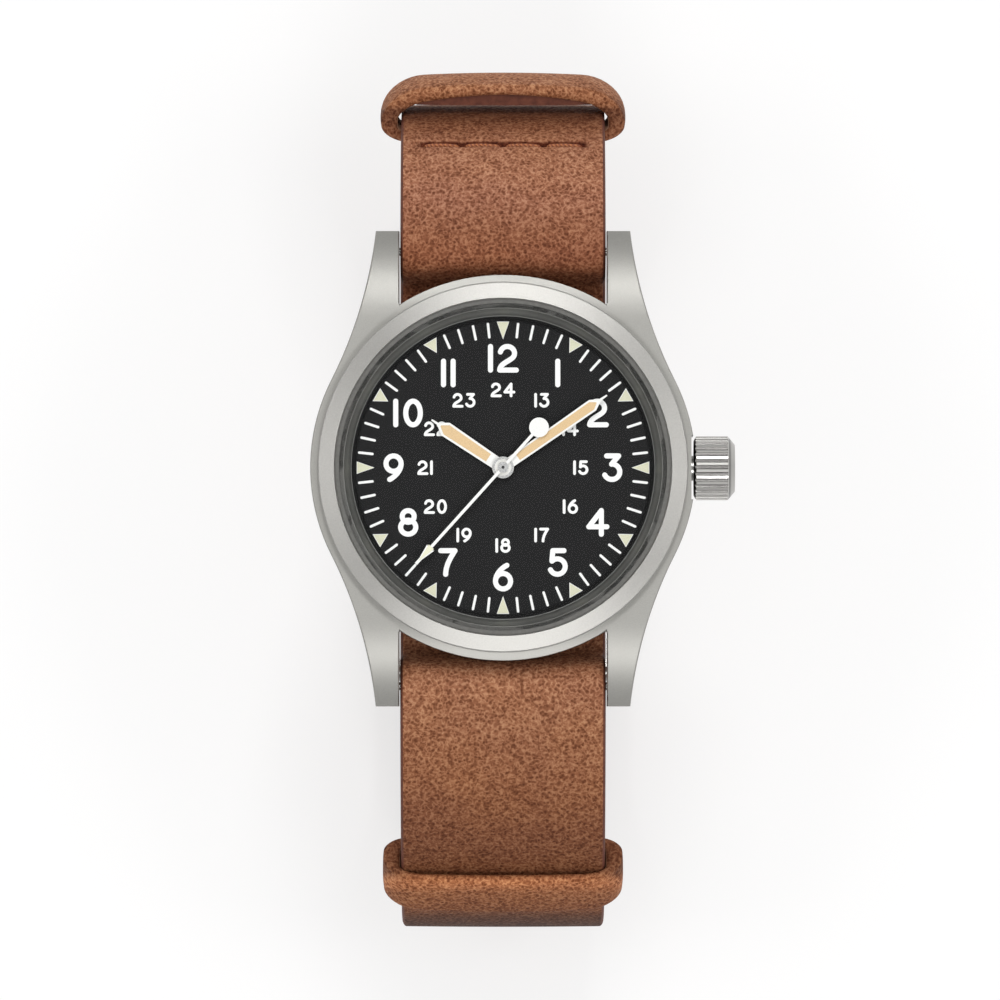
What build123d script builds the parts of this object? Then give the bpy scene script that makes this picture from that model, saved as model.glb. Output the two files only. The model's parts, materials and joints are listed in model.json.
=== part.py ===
"""Hand-wound field watch on a closed pass-through leather strap.

The origin is on the table, straight under the axis of the hands. +X points to the crown,
+Y to twelve o'clock and +Z out of the dial. Heights inside the watch head are measured
from the outer face of its back, and everything is raised by HEAD_LIFT at the end.
"""

import os
from math import acos, asin, atan2, cos, degrees, hypot, pi, radians, sin, sqrt

from build123d import *

# Common values
OVERRUN = 0.5           # how far a cutter runs past the face it opens
RUN_GAP = 0.03          # radial clearance of a running fit
SEAT_GAP = 0.05         # gap between pieces that only rest on each other
BLOCK_GAP = 0.3         # room round a moving piece in its pocket

# Movement, and the rings that carry it: each radius grows out of the one inside it
MOVEMENT_R = 12.8
MOVEMENT_RING_W = 2.4
MOVEMENT_RING_R = MOVEMENT_R + MOVEMENT_RING_W
CASE_BORE_PLAY = 0.1
CASE_BORE_R = MOVEMENT_RING_R + CASE_BORE_PLAY
CASE_LEDGE_W = 0.8
RING_BORE_R = CASE_BORE_R + CASE_LEDGE_W

# Movement levels above the outer face of the back
MOVEMENT_BASE_Z = 1.65
BRIDGE_T = 0.6
PLATE_UNDER_Z = 3.6
PLATE_TOP_Z = 5.0
BARREL_POCKET_Z = 4.3
DIAL_SIDE_Z = 4.45
ESCAPE_POCKET_Z = 3.95
DIAL_SIDE_R = 4.5

# Dial and the sloping ring round it
DIAL_INSET = 0.3
DIAL_R = MOVEMENT_RING_R - DIAL_INSET
DIAL_T = 0.4
DIAL_HOLE_R = 0.95
DIAL_FOOT_R = 0.35
DIAL_FOOT_L = 0.9
DIAL_FOOT_INSET = 1.2
DIAL_FOOT_PLACE_R = MOVEMENT_R - DIAL_FOOT_INSET
DIAL_FOOT_ANGLES = (100, 290)
DIAL_COVER_W = 0.2
DIAL_RING_FOOT_R = DIAL_R - DIAL_COVER_W
DIAL_RING_STEP_W = 0.45
DIAL_RING_STEP_R = DIAL_RING_FOOT_R + DIAL_RING_STEP_W
DIAL_RING_STEP_H = 0.35
DIAL_RING_LIP_W = 0.25
DIAL_RING_TOP_R = RING_BORE_R - DIAL_RING_LIP_W

# Bezel, crystal and its gasket
BEZEL_SEAT_W = 0.6
BEZEL_BORE_R = RING_BORE_R + BEZEL_SEAT_W
BEZEL_W = 1.74
BEZEL_R = BEZEL_BORE_R + BEZEL_W
BEZEL_EDGE_Z = 7.6
BEZEL_TOP_Z = 8.15
BEZEL_EDGE = 0.12
BEZEL_LIP_W = 0.8
BEZEL_LIP_R = BEZEL_BORE_R + BEZEL_LIP_W
BEZEL_LIP_H = 0.5
GASKET_W = 0.4
GASKET_FOOT_W = 0.8
GASKET_FOOT_R = BEZEL_BORE_R - GASKET_FOOT_W
GASKET_FOOT_T = 0.3
GASKET_TOP_Z = 7.9
CRYSTAL_R = BEZEL_BORE_R - GASKET_W
CRYSTAL_T = 1.45
CRYSTAL_BEVEL = 0.25

# Case
CASE_SHOULDER_W = 0.75
CASE_R = BEZEL_R + CASE_SHOULDER_W
CASE_FLOOR_Z = 0.8
CASE_TOP_Z = 6.6
CASE_EDGE = 0.15
CASE_UNDERCUT = 1.3
CASE_UNDERCUT_RISE = 1.7
CROWN_FLAT_DEPTH = 0.44
CROWN_FLAT_X = CASE_R - CROWN_FLAT_DEPTH

# Strap widths, which set the lugs, the spring bars, the keepers and the buckle
STRAP_W = 20.5
LUG_PLAY = 0.1
LUG_GAP = STRAP_W + 2 * LUG_PLAY

# Spring bars
BAR_SETBACK = 2.51
BAR_Y = CASE_R + BAR_SETBACK
BAR_Z = 1.9
BAR_R = 0.75
BAR_END_GAP = 0.2
BAR_L = LUG_GAP - 2 * BAR_END_GAP
BAR_WALL = 0.2
BAR_PIN_R = 0.4
BAR_PIN_REACH = 0.8
BAR_PIN_IN_L = 2.6
BAR_PIN_HEAD_L = 0.5
BAR_PIN_HEAD_R = 0.5
BAR_PIN_TRAVEL = 1.0
BAR_SPRING_WIRE = 0.2

# Lugs: plan and side view
LUG_TIP_L = 2.0
LUG_TIP_Y = BAR_Y + LUG_TIP_L
LUG_TIP_W = 2.35
LUG_TIP_X = LUG_GAP / 2 + LUG_TIP_W
LUG_FLANK_R = 42.8
LUG_INNER_EDGE = 0.12
LUG_TIP_LOW_Z = 0.2
LUG_TIP_HIGH_Z = 3.3
LUG_BEND_INSET = 4.6
LUG_BEND_Y = CASE_R - LUG_BEND_INSET
LUG_FLOOR_L = 0.25
LUG_FLOOR_Y = CASE_R + LUG_FLOOR_L

# Case back
BACK_T = 0.75
BACK_LAND_T = 1.05
BACK_THREAD_W = 0.65
BACK_THREAD_R = CASE_BORE_R + BACK_THREAD_W
BACK_THREAD_T = 0.5
BACK_THREAD_TOP_Z = 2.2
BACK_GASKET_INSET = 0.25
BACK_GASKET_IN_R = BACK_THREAD_R + BACK_GASKET_INSET
BACK_GASKET_W = 0.6
BACK_GASKET_OUT_R = BACK_GASKET_IN_R + BACK_GASKET_W
BACK_GASKET_T = 0.4
BACK_RIM_W = 0.4
BACK_R = BACK_GASKET_OUT_R + BACK_RIM_W
BACK_NOTCH_W = 1.8
BACK_NOTCH_L = 1.4
BACK_NOTCH_INSET = 0.6
BACK_NOTCH_DEPTH = 0.35
BACK_NOTCHES = 6

# Crown, tube and stem
STEM_Z = 3.6
STEM_R = 0.55
STEM_SQUARE = 0.8
STEM_PIVOT_R = 0.25
STEM_PIVOT_X = 4.25
STEM_SQUARE_X = 5.4
STEM_SQUARE_END_X = 7.75
STEM_GROOVE_X = 9.6
STEM_GROOVE_W = 0.5
STEM_GROOVE_R = 0.32
CROWN_R = 3.18
CROWN_GAP = 0.25
CROWN_BASE_X = CROWN_FLAT_X + CROWN_GAP
CROWN_BASE_R = 2.75
CROWN_BASE_L = 0.25
CROWN_FLUTE_X = CROWN_BASE_X + CROWN_BASE_L
CROWN_FLUTED_L = 3.15
CROWN_CAP_X = CROWN_FLUTE_X + CROWN_FLUTED_L
CROWN_CAP_L = 0.7
CROWN_END_X = CROWN_CAP_X + CROWN_CAP_L
CROWN_CAP_R = 2.35
CROWN_FLUTES = 30
CROWN_FLUTE_R = 0.2
CROWN_BORE_DEPTH = 3.0
CROWN_PULL = 0.8
TUBE_R = 1.25
TUBE_BORE_R = 0.65
TUBE_INSET = 0.3
TUBE_START_X = CASE_BORE_R + TUBE_INSET
TUBE_REACH = 1.8
TUBE_END_X = CROWN_BASE_X + TUBE_REACH
CROWN_GASKET_T = 0.55
CROWN_GASKET_R = TUBE_R + CROWN_GASKET_T
CROWN_GASKET_INSET = 0.7
CROWN_GASKET_X = CROWN_BASE_X + CROWN_GASKET_INSET
CROWN_GASKET_L = 0.6

# Going train: tooth counts, and the places of the axes
BARREL_TEETH = 72
SECOND_PINION_TEETH = 10
SECOND_TEETH = 80
THIRD_PINION_TEETH = 10
THIRD_TEETH = 75
SECONDS_PINION_TEETH = 10
SECONDS_TEETH = 84
ESCAPE_PINION_TEETH = 7
BARREL_MODULE = 0.15
THIRD_MODULE = 0.09
SECONDS_MODULE = 0.08
BARREL_PLACE_R = 6.8
BARREL_ANGLE = 65
THIRD_ANGLE = 150
ESCAPE_ANGLE = 240
BALANCE_PLACE_R = 7.68
BALANCE_ANGLE = 214.9

# Going train: levels and thicknesses
WHEEL_T = 0.15
SECONDS_WHEEL_Z = 2.3
THIRD_WHEEL_Z = 2.55
SECOND_WHEEL_Z = 2.85
SECONDS_PINION_Z = 2.5
SECONDS_PINION_L = 0.25
THIRD_PINION_Z = 2.75
THIRD_PINION_L = 0.35
SECOND_PINION_Z = 3.1
SECOND_PINION_L = 0.4
MOTION_DRIVE_Z = 4.48
MOTION_DRIVE_L = 0.14
PINION_ARBOR_R = 0.22
PIVOT_R = 0.1
PIVOT_LOW_Z = 1.75
PIVOT_HIGH_Z = 4.25
WHEEL_HUB_R = 0.75
WHEEL_ARM_W = 0.35
WHEEL_ARMS = 5

# Barrel and winding
DRUM_R = 5.2
DRUM_Z = 3.12
DRUM_TOP_Z = 4.25
DRUM_WALL = 0.18
DRUM_TOOTH_Z = 3.15
DRUM_TOOTH_L = 0.3
DRUM_COVER_T = 0.14
ARBOR_R = 1.1
ARBOR_SHOULDER_R = 0.8
ARBOR_PIVOT_R = 0.4
ARBOR_SQUARE = 0.9
MAINSPRING_T = 0.16
MAINSPRING_PITCH = 0.34
MAINSPRING_TURNS = 10
MAINSPRING_EDGE_GAP = 0.08
RATCHET_TEETH = 52
CROWN_WHEEL_TEETH = 26
WINDING_PINION_TEETH = 13
RATCHET_Z = 1.35
RATCHET_T = 0.25
CROWN_WHEEL_X = 6.0
CROWN_WHEEL_TOP_Z = 2.42
CROWN_WHEEL_BORE_R = 0.8
CONTRATE_DEPTH = 0.2
WINDING_PINION_L = 0.9
SLIDING_PINION_R = 0.97
SLIDING_PINION_L = 1.5
SLIDING_PINION_X = 6.25
SLIDING_GROOVE_R = 0.62
SLIDING_GROOVE_W = 0.4
SLIDING_TOOTH_H = 0.15
SLIDING_TEETH = 12
SLIDING_TRAVEL = 0.8

# Keyless levers and click
LEVER_Z = 4.5
LEVER_T = 0.2
LEVER_PIVOT_R = 0.3
LEVER_HUB_R = 0.7
LEVER_W = 0.5
SETTING_LEVER_Y = -2.6
SETTING_PIN_R = 0.18
YOKE_X = 6.3
YOKE_Y = -3.6
YOKE_TIP_W = 0.24
CLICK_ANGLE = 112
CLICK_LEAN = 14
CLICK_REACH = 1.2
CLICK_CLEAR = 0.1
CLICK_W = 0.55
CLICK_SPRING_T = 0.16
CLICK_SPRING_L = 2.6
CLICK_SPRING_END_R = 0.3

# Motion work
CANNON_TEETH = 12
MINUTE_TEETH = 36
MINUTE_PINION_TEETH = 10
HOUR_TEETH = 40
SETTING_TEETH = 20
CANNON_MODULE = 0.1
MINUTE_ANGLE = -35
CENTRE_TUBE_R = 0.32
CENTRE_TUBE_BORE_R = 0.2
CENTRE_TUBE_TOP_Z = 6.0
SECONDS_ARBOR_R = 0.14
CANNON_BORE_R = 0.35
CANNON_PIPE_R = 0.5
CANNON_TOP_Z = 6.3
CANNON_PINION_Z = 4.64
MINUTE_WHEEL_Z = 4.68
MINUTE_WHEEL_T = 0.12
HOUR_WHEEL_Z = 4.84
HOUR_WHEEL_T = 0.1
HOUR_PIPE_R = 0.75
HOUR_TOP_Z = 5.9
MINUTE_STUD_R = 0.2
MINUTE_STUD_TOP_Z = 4.95

# Escapement
ESCAPE_R = 1.75
ESCAPE_TEETH = 15
ESCAPE_Z = 3.6
ESCAPE_T = 0.12
PALLET_REACH = 2.12
PALLET_SPAN = 1.25
PALLET_ARM_W = 0.24
PALLET_STONE_W = 0.22
PALLET_STONE_L = 0.5
FORK_L = 2.05
FORK_SLOT_W = 0.32
FORK_SLOT_L = 0.4
FORK_HEAD_W = 0.75
BALANCE_R = 4.2
BALANCE_RIM_W = 0.45
BALANCE_Z = 2.9
BALANCE_RIM_T = 0.4
BALANCE_ARM_T = 0.2
BALANCE_ARM_W = 0.5
BALANCE_ARMS = 3
BALANCE_HUB_R = 0.6
ROLLER_R = 0.7
ROLLER_Z = 3.32
ROLLER_T = 0.12
ROLLER_JEWEL_R = 0.11
ROLLER_JEWEL_PLACE_R = 0.5
ROLLER_JEWEL_TOP_Z = 3.7
STAFF_R = 0.2
HAIRSPRING_T = 0.05
HAIRSPRING_PITCH = 0.19
HAIRSPRING_TURNS = 10
HAIRSPRING_H = 0.12
HAIRSPRING_Z = 2.62
HAIRSPRING_START_R = 0.45
COLLET_R = 0.4
STUD_R = 0.18

# Bridges, jewels and screws
BRIDGE_GAP = 0.15
COCK_W = 3.4
JEWEL_R = 0.55
JEWEL_T = 0.3
SCREW_HEAD_R = 0.75
SCREW_HEAD_T = 0.3
SCREW_R = 0.4
SCREW_L = 1.5
SCREW_SLOT_W = 0.22
SCREW_SLOT_DEPTH = 0.14
BRIDGE_SCREW_INSET = 1.05
BRIDGE_SCREW_PLACE_R = MOVEMENT_R - BRIDGE_SCREW_INSET
BRIDGE_SCREW_ANGLES = (20, 95, 136, 168, 232)

# Hands: lengths from the axis of the hands
HAND_T = 0.12
HOUR_HAND_Z = 5.72
MINUTE_HAND_Z = 6.08
SECONDS_HAND_Z = 6.5
MINUTE_HAND_ROOM = 2.1
MINUTE_HAND_L = DIAL_RING_FOOT_R - MINUTE_HAND_ROOM
MINUTE_HAND_W = 1.25
MINUTE_HAND_NECK_W = 1.05
MINUTE_HAND_SHOULDER = 1.75
MINUTE_HAND_NEEDLE_L = 0.85
HOUR_HAND_SHORTER = 4.05
HOUR_HAND_L = MINUTE_HAND_L - HOUR_HAND_SHORTER
HOUR_HAND_W = 1.5
HOUR_HAND_NECK_W = 1.25
HOUR_HAND_SHOULDER = 1.65
HOUR_HAND_NEEDLE_L = 0.75
HAND_NEEDLE_W = 0.26
HAND_TIP_W = 0.16
HAND_HUB_R = 1.08
HOUR_HUB_R = 1.05
SECONDS_HUB_R = 0.56
SECONDS_HAND_ROOM = 1.75
SECONDS_HAND_L = DIAL_RING_FOOT_R - SECONDS_HAND_ROOM
SECONDS_HAND_W = 0.3
SECONDS_ARROW_W = 0.95
SECONDS_ARROW_L = 2.2
SECONDS_ARROW_NOTCH = 0.25
SECONDS_ARROW_START = SECONDS_HAND_L - SECONDS_ARROW_L
SECONDS_TAIL_L = 5.35
SECONDS_BALL_R = 0.98
HOUR_HAND_ANGLE = 303.8
MINUTE_HAND_ANGLE = 55.2
SECONDS_HAND_ANGLE = 222

# Strap: thicknesses
STRAP_T = 1.6
UNDER_STRAP_T = 1.2
FOLD_T = 0.6
STRAP_GAP = 0.08
LAYER_STEP = 2.3

# Strap: the loop seen from the side
DIVE_ANGLE = 65
SIDE_TILT = 15
BEND_R = 2.5
REACH_PAST_12 = 14.9
REACH_12 = BAR_Y + REACH_PAST_12
REACH_PAST_6 = 23.2
REACH_6 = BAR_Y + REACH_PAST_6
LOOP_Z = -42.0
STEP_R = 8.0
HEEL_Y = -9.0
FOLD_L = 16.0
TAIL_ARC = 50
TAIL_HOLE_R = 0.9
TAIL_HOLE_PITCH = 6.5
TAIL_HOLES = 5
UNDER_BEND_12 = 3.5
UNDER_BEND_6 = 10.0
UNDER_END_12 = 26
UNDER_END_6 = 24

# Keepers
KEEPER_T = 1.1
KEEPER_SIDE_T = 1.65
KEEPER_SIDE_GAP = 0.35
KEEPER_IN_W = STRAP_W + 2 * KEEPER_SIDE_GAP
KEEPER_OUT_W = KEEPER_IN_W + 2 * KEEPER_SIDE_T
KEEPER_BAND = 6.0
KEEPER_CORNER_R = 2.3
KEEPER_INNER_R = 0.5
KEEPER_PLAY = 0.12
UPPER_KEEPER_ROOM = 2.25
UPPER_KEEPER_ANGLE = 15
LOWER_KEEPER_ANGLE = 29.6
BUCKLE_KEEPER_W = 6.6

# Buckle
HEEL_R = 0.75
EYE_R = 1.38
FRAME_PLAY = 0.45
FRAME_IN_W = STRAP_W + 2 * FRAME_PLAY
FRAME_RAIL_W = 2.0
FRAME_OUT_W = FRAME_IN_W + 2 * FRAME_RAIL_W
HEEL_SKIN = 0.6
HEEL_L = FRAME_OUT_W - 2 * HEEL_SKIN
FRAME_L = 11.4
FRAME_BACK_L = 1.6
FRAME_BAR_T = 2.3
FRAME_CORNER_R = 2.6
FRAME_RAIL_H = 1.9
TONGUE_W = 1.8
TONGUE_T = 0.9
TONGUE_L = 11.2
TONGUE_EYE_R = 1.3
TONGUE_SLOT_W = 2.3
TONGUE_SWING = 24
SWEEP_PARTS = 4
NOTCH_GAP = 0.2

# Tooth form, as shares of the pitch or of the module
TOOTH_SHARES = (("root", 0.29), ("tip", 0.11))
ROOT_MODULE_SHARE = 1.25
TIP_MODULE_SHARE = 0.9

# Outlines of the bridges, as shares of the movement's radius
BARREL_BRIDGE_SHARES = (
    (-0.16, 0.22), (0.30, 0.20), (0.45, -0.20), (1.10, -0.24), (1.10, 1.10), (-0.16, 1.10),
)
TRAIN_BRIDGE_SHARES = (
    (-0.21, -0.30), (0.22, -0.30), (0.22, 0.15), (-0.21, 0.17), (-0.21, 1.10),
    (-1.10, 1.10), (-1.10, 0.00), (-0.40, -0.02),
)

BASE = (Align.CENTER, Align.CENTER, Align.MIN)


def polar(radius, angle):
    """Point of the plan at a radius and an angle from +X."""
    return (radius * cos(radians(angle)), radius * sin(radians(angle)))


def distance(one, two):
    return hypot(two[0] - one[0], two[1] - one[1])


def bearing(one, two):
    return degrees(atan2(two[1] - one[1], two[0] - one[0]))


# Places that follow from the sizes
CRYSTAL_Z = CASE_TOP_Z + GASKET_FOOT_T
DIAL_TOP_Z = PLATE_TOP_Z + DIAL_T
BRIDGE_TOP_Z = MOVEMENT_BASE_Z + BRIDGE_T
CENTRE = (0, 0)
BARREL_AT = polar(BARREL_PLACE_R, BARREL_ANGLE)
THIRD_AT = polar((THIRD_TEETH + SECONDS_PINION_TEETH) * THIRD_MODULE / 2, THIRD_ANGLE)
SECOND_MODULE = 2 * distance(CENTRE, THIRD_AT) / (SECOND_TEETH + THIRD_PINION_TEETH)
ESCAPE_AT = polar((SECONDS_TEETH + ESCAPE_PINION_TEETH) * SECONDS_MODULE / 2, ESCAPE_ANGLE)
BALANCE_AT = polar(BALANCE_PLACE_R, BALANCE_ANGLE)
CROWN_WHEEL_AT = (CROWN_WHEEL_X, 0)
WINDING_MODULE = 2 * distance(CROWN_WHEEL_AT, BARREL_AT) / (RATCHET_TEETH + CROWN_WHEEL_TEETH)
WINDING_PINION_X = CROWN_WHEEL_X + CROWN_WHEEL_TEETH * WINDING_MODULE / 2
MINUTE_AT = polar((CANNON_TEETH + MINUTE_TEETH) * CANNON_MODULE / 2, MINUTE_ANGLE)
HOUR_MODULE = 2 * distance(CENTRE, MINUTE_AT) / (HOUR_TEETH + MINUTE_PINION_TEETH)
SETTING_DISTANCE = (MINUTE_TEETH + SETTING_TEETH) * CANNON_MODULE / 2
SETTING_AT = (MINUTE_AT[0] + sqrt(SETTING_DISTANCE ** 2 - MINUTE_AT[1] ** 2), 0)


def second_wheel_place():
    """Where the second wheel reaches both the third pinion and the barrel."""
    to_third = distance(CENTRE, THIRD_AT)
    to_barrel = (BARREL_TEETH + SECOND_PINION_TEETH) * BARREL_MODULE / 2
    span = distance(THIRD_AT, BARREL_AT)
    along = (to_third ** 2 - to_barrel ** 2 + span ** 2) / (2 * span)
    aside = sqrt(to_third ** 2 - along ** 2)
    ahead = radians(bearing(THIRD_AT, BARREL_AT))
    return (
        THIRD_AT[0] + along * cos(ahead) - aside * sin(ahead),
        THIRD_AT[1] + along * sin(ahead) + aside * cos(ahead),
    )


SECOND_AT = second_wheel_place()
PALLET_TOWARDS = bearing(ESCAPE_AT, BALANCE_AT)
PALLET_AT = (
    ESCAPE_AT[0] + PALLET_REACH * cos(radians(PALLET_TOWARDS)),
    ESCAPE_AT[1] + PALLET_REACH * sin(radians(PALLET_TOWARDS)),
)

# Strap places, in the side view: Y to the right and Z up
WRAP_R = BAR_R + STRAP_GAP + STRAP_T / 2
UNDER_CASE_Z = -STRAP_GAP - STRAP_T / 2
UNDER_STEP = (STRAP_T + UNDER_STRAP_T) / 2 + STRAP_GAP
UNDER_STRAP_Z = UNDER_CASE_Z - UNDER_STEP
SIDE_Y = BAR_Y + WRAP_R * sin(radians(SIDE_TILT))
SIDE_Z = BAR_Z + WRAP_R * cos(radians(SIDE_TILT))
ARC_12 = (REACH_12 - SIDE_Y) / (1 - sin(radians(SIDE_TILT)))
ARC_6 = (REACH_6 - SIDE_Y) / (1 - sin(radians(SIDE_TILT)))
WIDEST_12_Z = SIDE_Z - ARC_12 * cos(radians(SIDE_TILT))
WIDEST_6_Z = SIDE_Z - ARC_6 * cos(radians(SIDE_TILT))
LOW_ARC_12 = WIDEST_12_Z - LOOP_Z
LOW_ARC_6 = WIDEST_6_Z - LOOP_Z
CENTRE_12 = (REACH_12 - ARC_12, WIDEST_12_Z)
CENTRE_6 = (ARC_6 - REACH_6, WIDEST_6_Z)
DIVE_L = (
    BAR_Z + WRAP_R * cos(radians(DIVE_ANGLE)) - UNDER_CASE_Z - BEND_R * (1 - cos(radians(DIVE_ANGLE)))
) / sin(radians(DIVE_ANGLE))
FLAT_HALF = (
    BAR_Y - (WRAP_R + BEND_R) * sin(radians(DIVE_ANGLE)) - DIVE_L * cos(radians(DIVE_ANGLE))
)
STEP_TURN = degrees(acos(1 - LAYER_STEP / (2 * STEP_R)))
STEP_L = 2 * STEP_R * sin(radians(STEP_TURN))
STEP_END_Y = HEEL_Y - EYE_R
TABLE_Z = LOOP_Z - LAYER_STEP - STRAP_T / 2 - KEEPER_PLAY - KEEPER_T
HEAD_LIFT = -TABLE_Z


# Basic shapes
def post(radius, low, high, at=CENTRE):
    """Round post between two levels."""
    return Pos(at[0], at[1], low) * Cylinder(radius, high - low, align=BASE)


def ring(inner, outer, low, high, at=CENTRE):
    bore = post(inner, low - OVERRUN, high + OVERRUN, at)
    return post(outer, low, high, at) - bore


def rod(radius, start, end, y=0, z=STEM_Z):
    """Round rod along X."""
    return Pos(start, y, z) * Rot(0, 90, 0) * Cylinder(radius, end - start, align=BASE)


def block(x_range, y_range, z_range):
    size = [high - low for low, high in (x_range, y_range, z_range)]
    return Pos(x_range[0], y_range[0], z_range[0]) * Box(*size, align=(Align.MIN,) * 3)


def slab(face, low, high):
    """Flat face of the plan, raised between two levels."""
    return Pos(0, 0, low) * extrude(face, amount=high - low)


def turned(points):
    """Round piece turned about Z from its half section, given as radius and height."""
    section = Plane.XZ * make_face(Polyline(*points, close=True))
    return revolve(section, Axis.Z)


def capsule(one, two, width):
    """Flat bar with round ends between two points of the plan."""
    middle = ((one[0] + two[0]) / 2, (one[1] + two[1]) / 2)
    slot = SlotCenterToCenter(distance(one, two), width)
    return Pos(middle[0], middle[1], 0) * Rot(0, 0, bearing(one, two)) * slot


# Toothed wheels
def mesh_phase(teeth, phase, mate_teeth, angle):
    """Turn of a mate, seen at the angle from a wheel, that puts its gaps on the wheel's teeth."""
    offset = (phase - angle) * teeth / 360
    return angle + 180 - (offset + 1 / 2) * 360 / mate_teeth


def toothed_face(teeth, module, phase):
    pitch_r = teeth * module / 2
    radius = {
        "root": pitch_r - ROOT_MODULE_SHARE * module,
        "tip": pitch_r + TIP_MODULE_SHARE * module,
    }
    (root, root_share), (tip, tip_share) = TOOTH_SHARES
    corners = ((root, -root_share), (tip, -tip_share), (tip, tip_share), (root, root_share))
    points = []
    for tooth in range(teeth):
        for kind, share in corners:
            points.append(polar(radius[kind], phase + (tooth + share) * 360 / teeth))
    return make_face(Polyline(*points, close=True))


def gear(teeth, module, phase, low, high, at=CENTRE, bore=0):
    face = toothed_face(teeth, module, phase)
    if bore:
        face -= Circle(bore)
    return Pos(at[0], at[1], 0) * slab(face, low, high)


def crossed_wheel(teeth, module, phase, low, high, at):
    """Toothed rim on a hub, with arms between them."""
    rim_r = teeth * module / 2 - 4 * module
    window = Circle(rim_r) - Circle(WHEEL_HUB_R)
    for arm in range(WHEEL_ARMS):
        bar = Rectangle(rim_r, WHEEL_ARM_W, align=(Align.MIN, Align.CENTER))
        window -= Rot(0, 0, phase + arm * 360 / WHEEL_ARMS) * bar
    face = toothed_face(teeth, module, phase) - window
    return Pos(at[0], at[1], 0) * slab(face, low, high)


def arbor(at, low=PIVOT_LOW_Z, high=PIVOT_HIGH_Z, body_low=BRIDGE_TOP_Z, body_high=PLATE_UNDER_Z):
    """Arbor with a thin pivot at each end."""
    body = post(PINION_ARBOR_R, body_low + SEAT_GAP, body_high - SEAT_GAP, at)
    return body + post(PIVOT_R, low, high, at)


# Phases that put every pair of wheels in mesh
SECONDS_PHASE = 0
SECONDS_PINION_PHASE = 0
THIRD_PHASE = mesh_phase(
    SECONDS_PINION_TEETH, SECONDS_PINION_PHASE, THIRD_TEETH, bearing(CENTRE, THIRD_AT))
THIRD_PINION_PHASE = 0
SECOND_PHASE = mesh_phase(
    THIRD_PINION_TEETH, THIRD_PINION_PHASE, SECOND_TEETH, bearing(THIRD_AT, SECOND_AT))
CANNON_DRIVE_PHASE = mesh_phase(
    THIRD_PINION_TEETH, THIRD_PINION_PHASE, SECOND_TEETH, bearing(THIRD_AT, CENTRE))
SECOND_PINION_PHASE = 0
BARREL_PHASE = mesh_phase(
    SECOND_PINION_TEETH, SECOND_PINION_PHASE, BARREL_TEETH, bearing(SECOND_AT, BARREL_AT))
ESCAPE_PINION_PHASE = mesh_phase(
    SECONDS_TEETH, SECONDS_PHASE, ESCAPE_PINION_TEETH, bearing(CENTRE, ESCAPE_AT))
CANNON_PHASE = 0
MINUTE_PHASE = mesh_phase(CANNON_TEETH, CANNON_PHASE, MINUTE_TEETH, bearing(CENTRE, MINUTE_AT))
MINUTE_PINION_PHASE = 0
HOUR_PHASE = mesh_phase(
    MINUTE_PINION_TEETH, MINUTE_PINION_PHASE, HOUR_TEETH, bearing(MINUTE_AT, CENTRE))
SETTING_PHASE = mesh_phase(
    MINUTE_TEETH, MINUTE_PHASE, SETTING_TEETH, bearing(MINUTE_AT, SETTING_AT))
CROWN_WHEEL_PHASE = 0
RATCHET_PHASE = mesh_phase(
    CROWN_WHEEL_TEETH, CROWN_WHEEL_PHASE, RATCHET_TEETH, bearing(CROWN_WHEEL_AT, BARREL_AT))


# Case
def lug_flank():
    """Start, middle and end of the arc that leaves the round case smoothly for the lug's tip."""
    tip = (LUG_TIP_X, LUG_TIP_Y)
    reach = distance(CENTRE, tip)
    far = CASE_R + LUG_FLANK_R
    along = (far ** 2 - LUG_FLANK_R ** 2 + reach ** 2) / (2 * reach)
    root_angle = bearing(CENTRE, tip) - degrees(acos(along / far))
    arc_x, arc_y = polar(far, root_angle)
    root = polar(CASE_R, root_angle)
    turns = [bearing((arc_x, arc_y), point) % 360 for point in (root, tip)]
    step = polar(LUG_FLANK_R, sum(turns) / len(turns))
    return root, (arc_x + step[0], arc_y + step[1]), tip


def case_plan():
    """Seen from above: the round case with its four lugs."""
    root, waist, tip = lug_flank()
    outline = []
    for way_x in (1, -1):
        for way_y in (1, -1):
            outline.append(ThreePointArc(*[(way_x * x, way_y * y) for x, y in (root, waist, tip)]))
        outline.append(ThreePointArc(
            (way_x * root[0], -root[1]), (way_x * CASE_R, 0), (way_x * root[0], root[1])))
    for way_y in (1, -1):
        outline.append(Line((-tip[0], way_y * tip[1]), (tip[0], way_y * tip[1])))
    return make_face(outline)


def lug_profile():
    """Seen from the crown's side: the lugs bend down smoothly towards their tips."""
    top = Line((0, CASE_TOP_Z), (LUG_BEND_Y, CASE_TOP_Z))
    fall = TangentArc(
        (LUG_BEND_Y, CASE_TOP_Z), (LUG_TIP_Y, LUG_TIP_HIGH_Z), tangent=(1, 0))
    tip = Line((LUG_TIP_Y, LUG_TIP_HIGH_Z), (LUG_TIP_Y, LUG_TIP_LOW_Z))
    under = Line((LUG_TIP_Y, LUG_TIP_LOW_Z), (LUG_FLOOR_Y, CASE_FLOOR_Z))
    floor = Line((LUG_FLOOR_Y, CASE_FLOOR_Z), (0, CASE_FLOOR_Z))
    middle = Line((0, CASE_FLOOR_Z), (0, CASE_TOP_Z))
    half = make_face([top, fall, tip, under, floor, middle])
    return half + mirror(half, Plane.YZ)


def strap_gap_cutter(side):
    """Room for the strap between two lugs, left round by the case."""
    gap = block(
        (-LUG_GAP / 2, LUG_GAP / 2),
        (0, LUG_TIP_Y + OVERRUN),
        (LUG_TIP_LOW_Z - OVERRUN, CASE_TOP_Z + OVERRUN),
    )
    gap -= post(CASE_R, LUG_TIP_LOW_Z - 2 * OVERRUN, CASE_TOP_Z + 2 * OVERRUN)
    return gap if side > 0 else mirror(gap, Plane.XZ)


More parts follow.
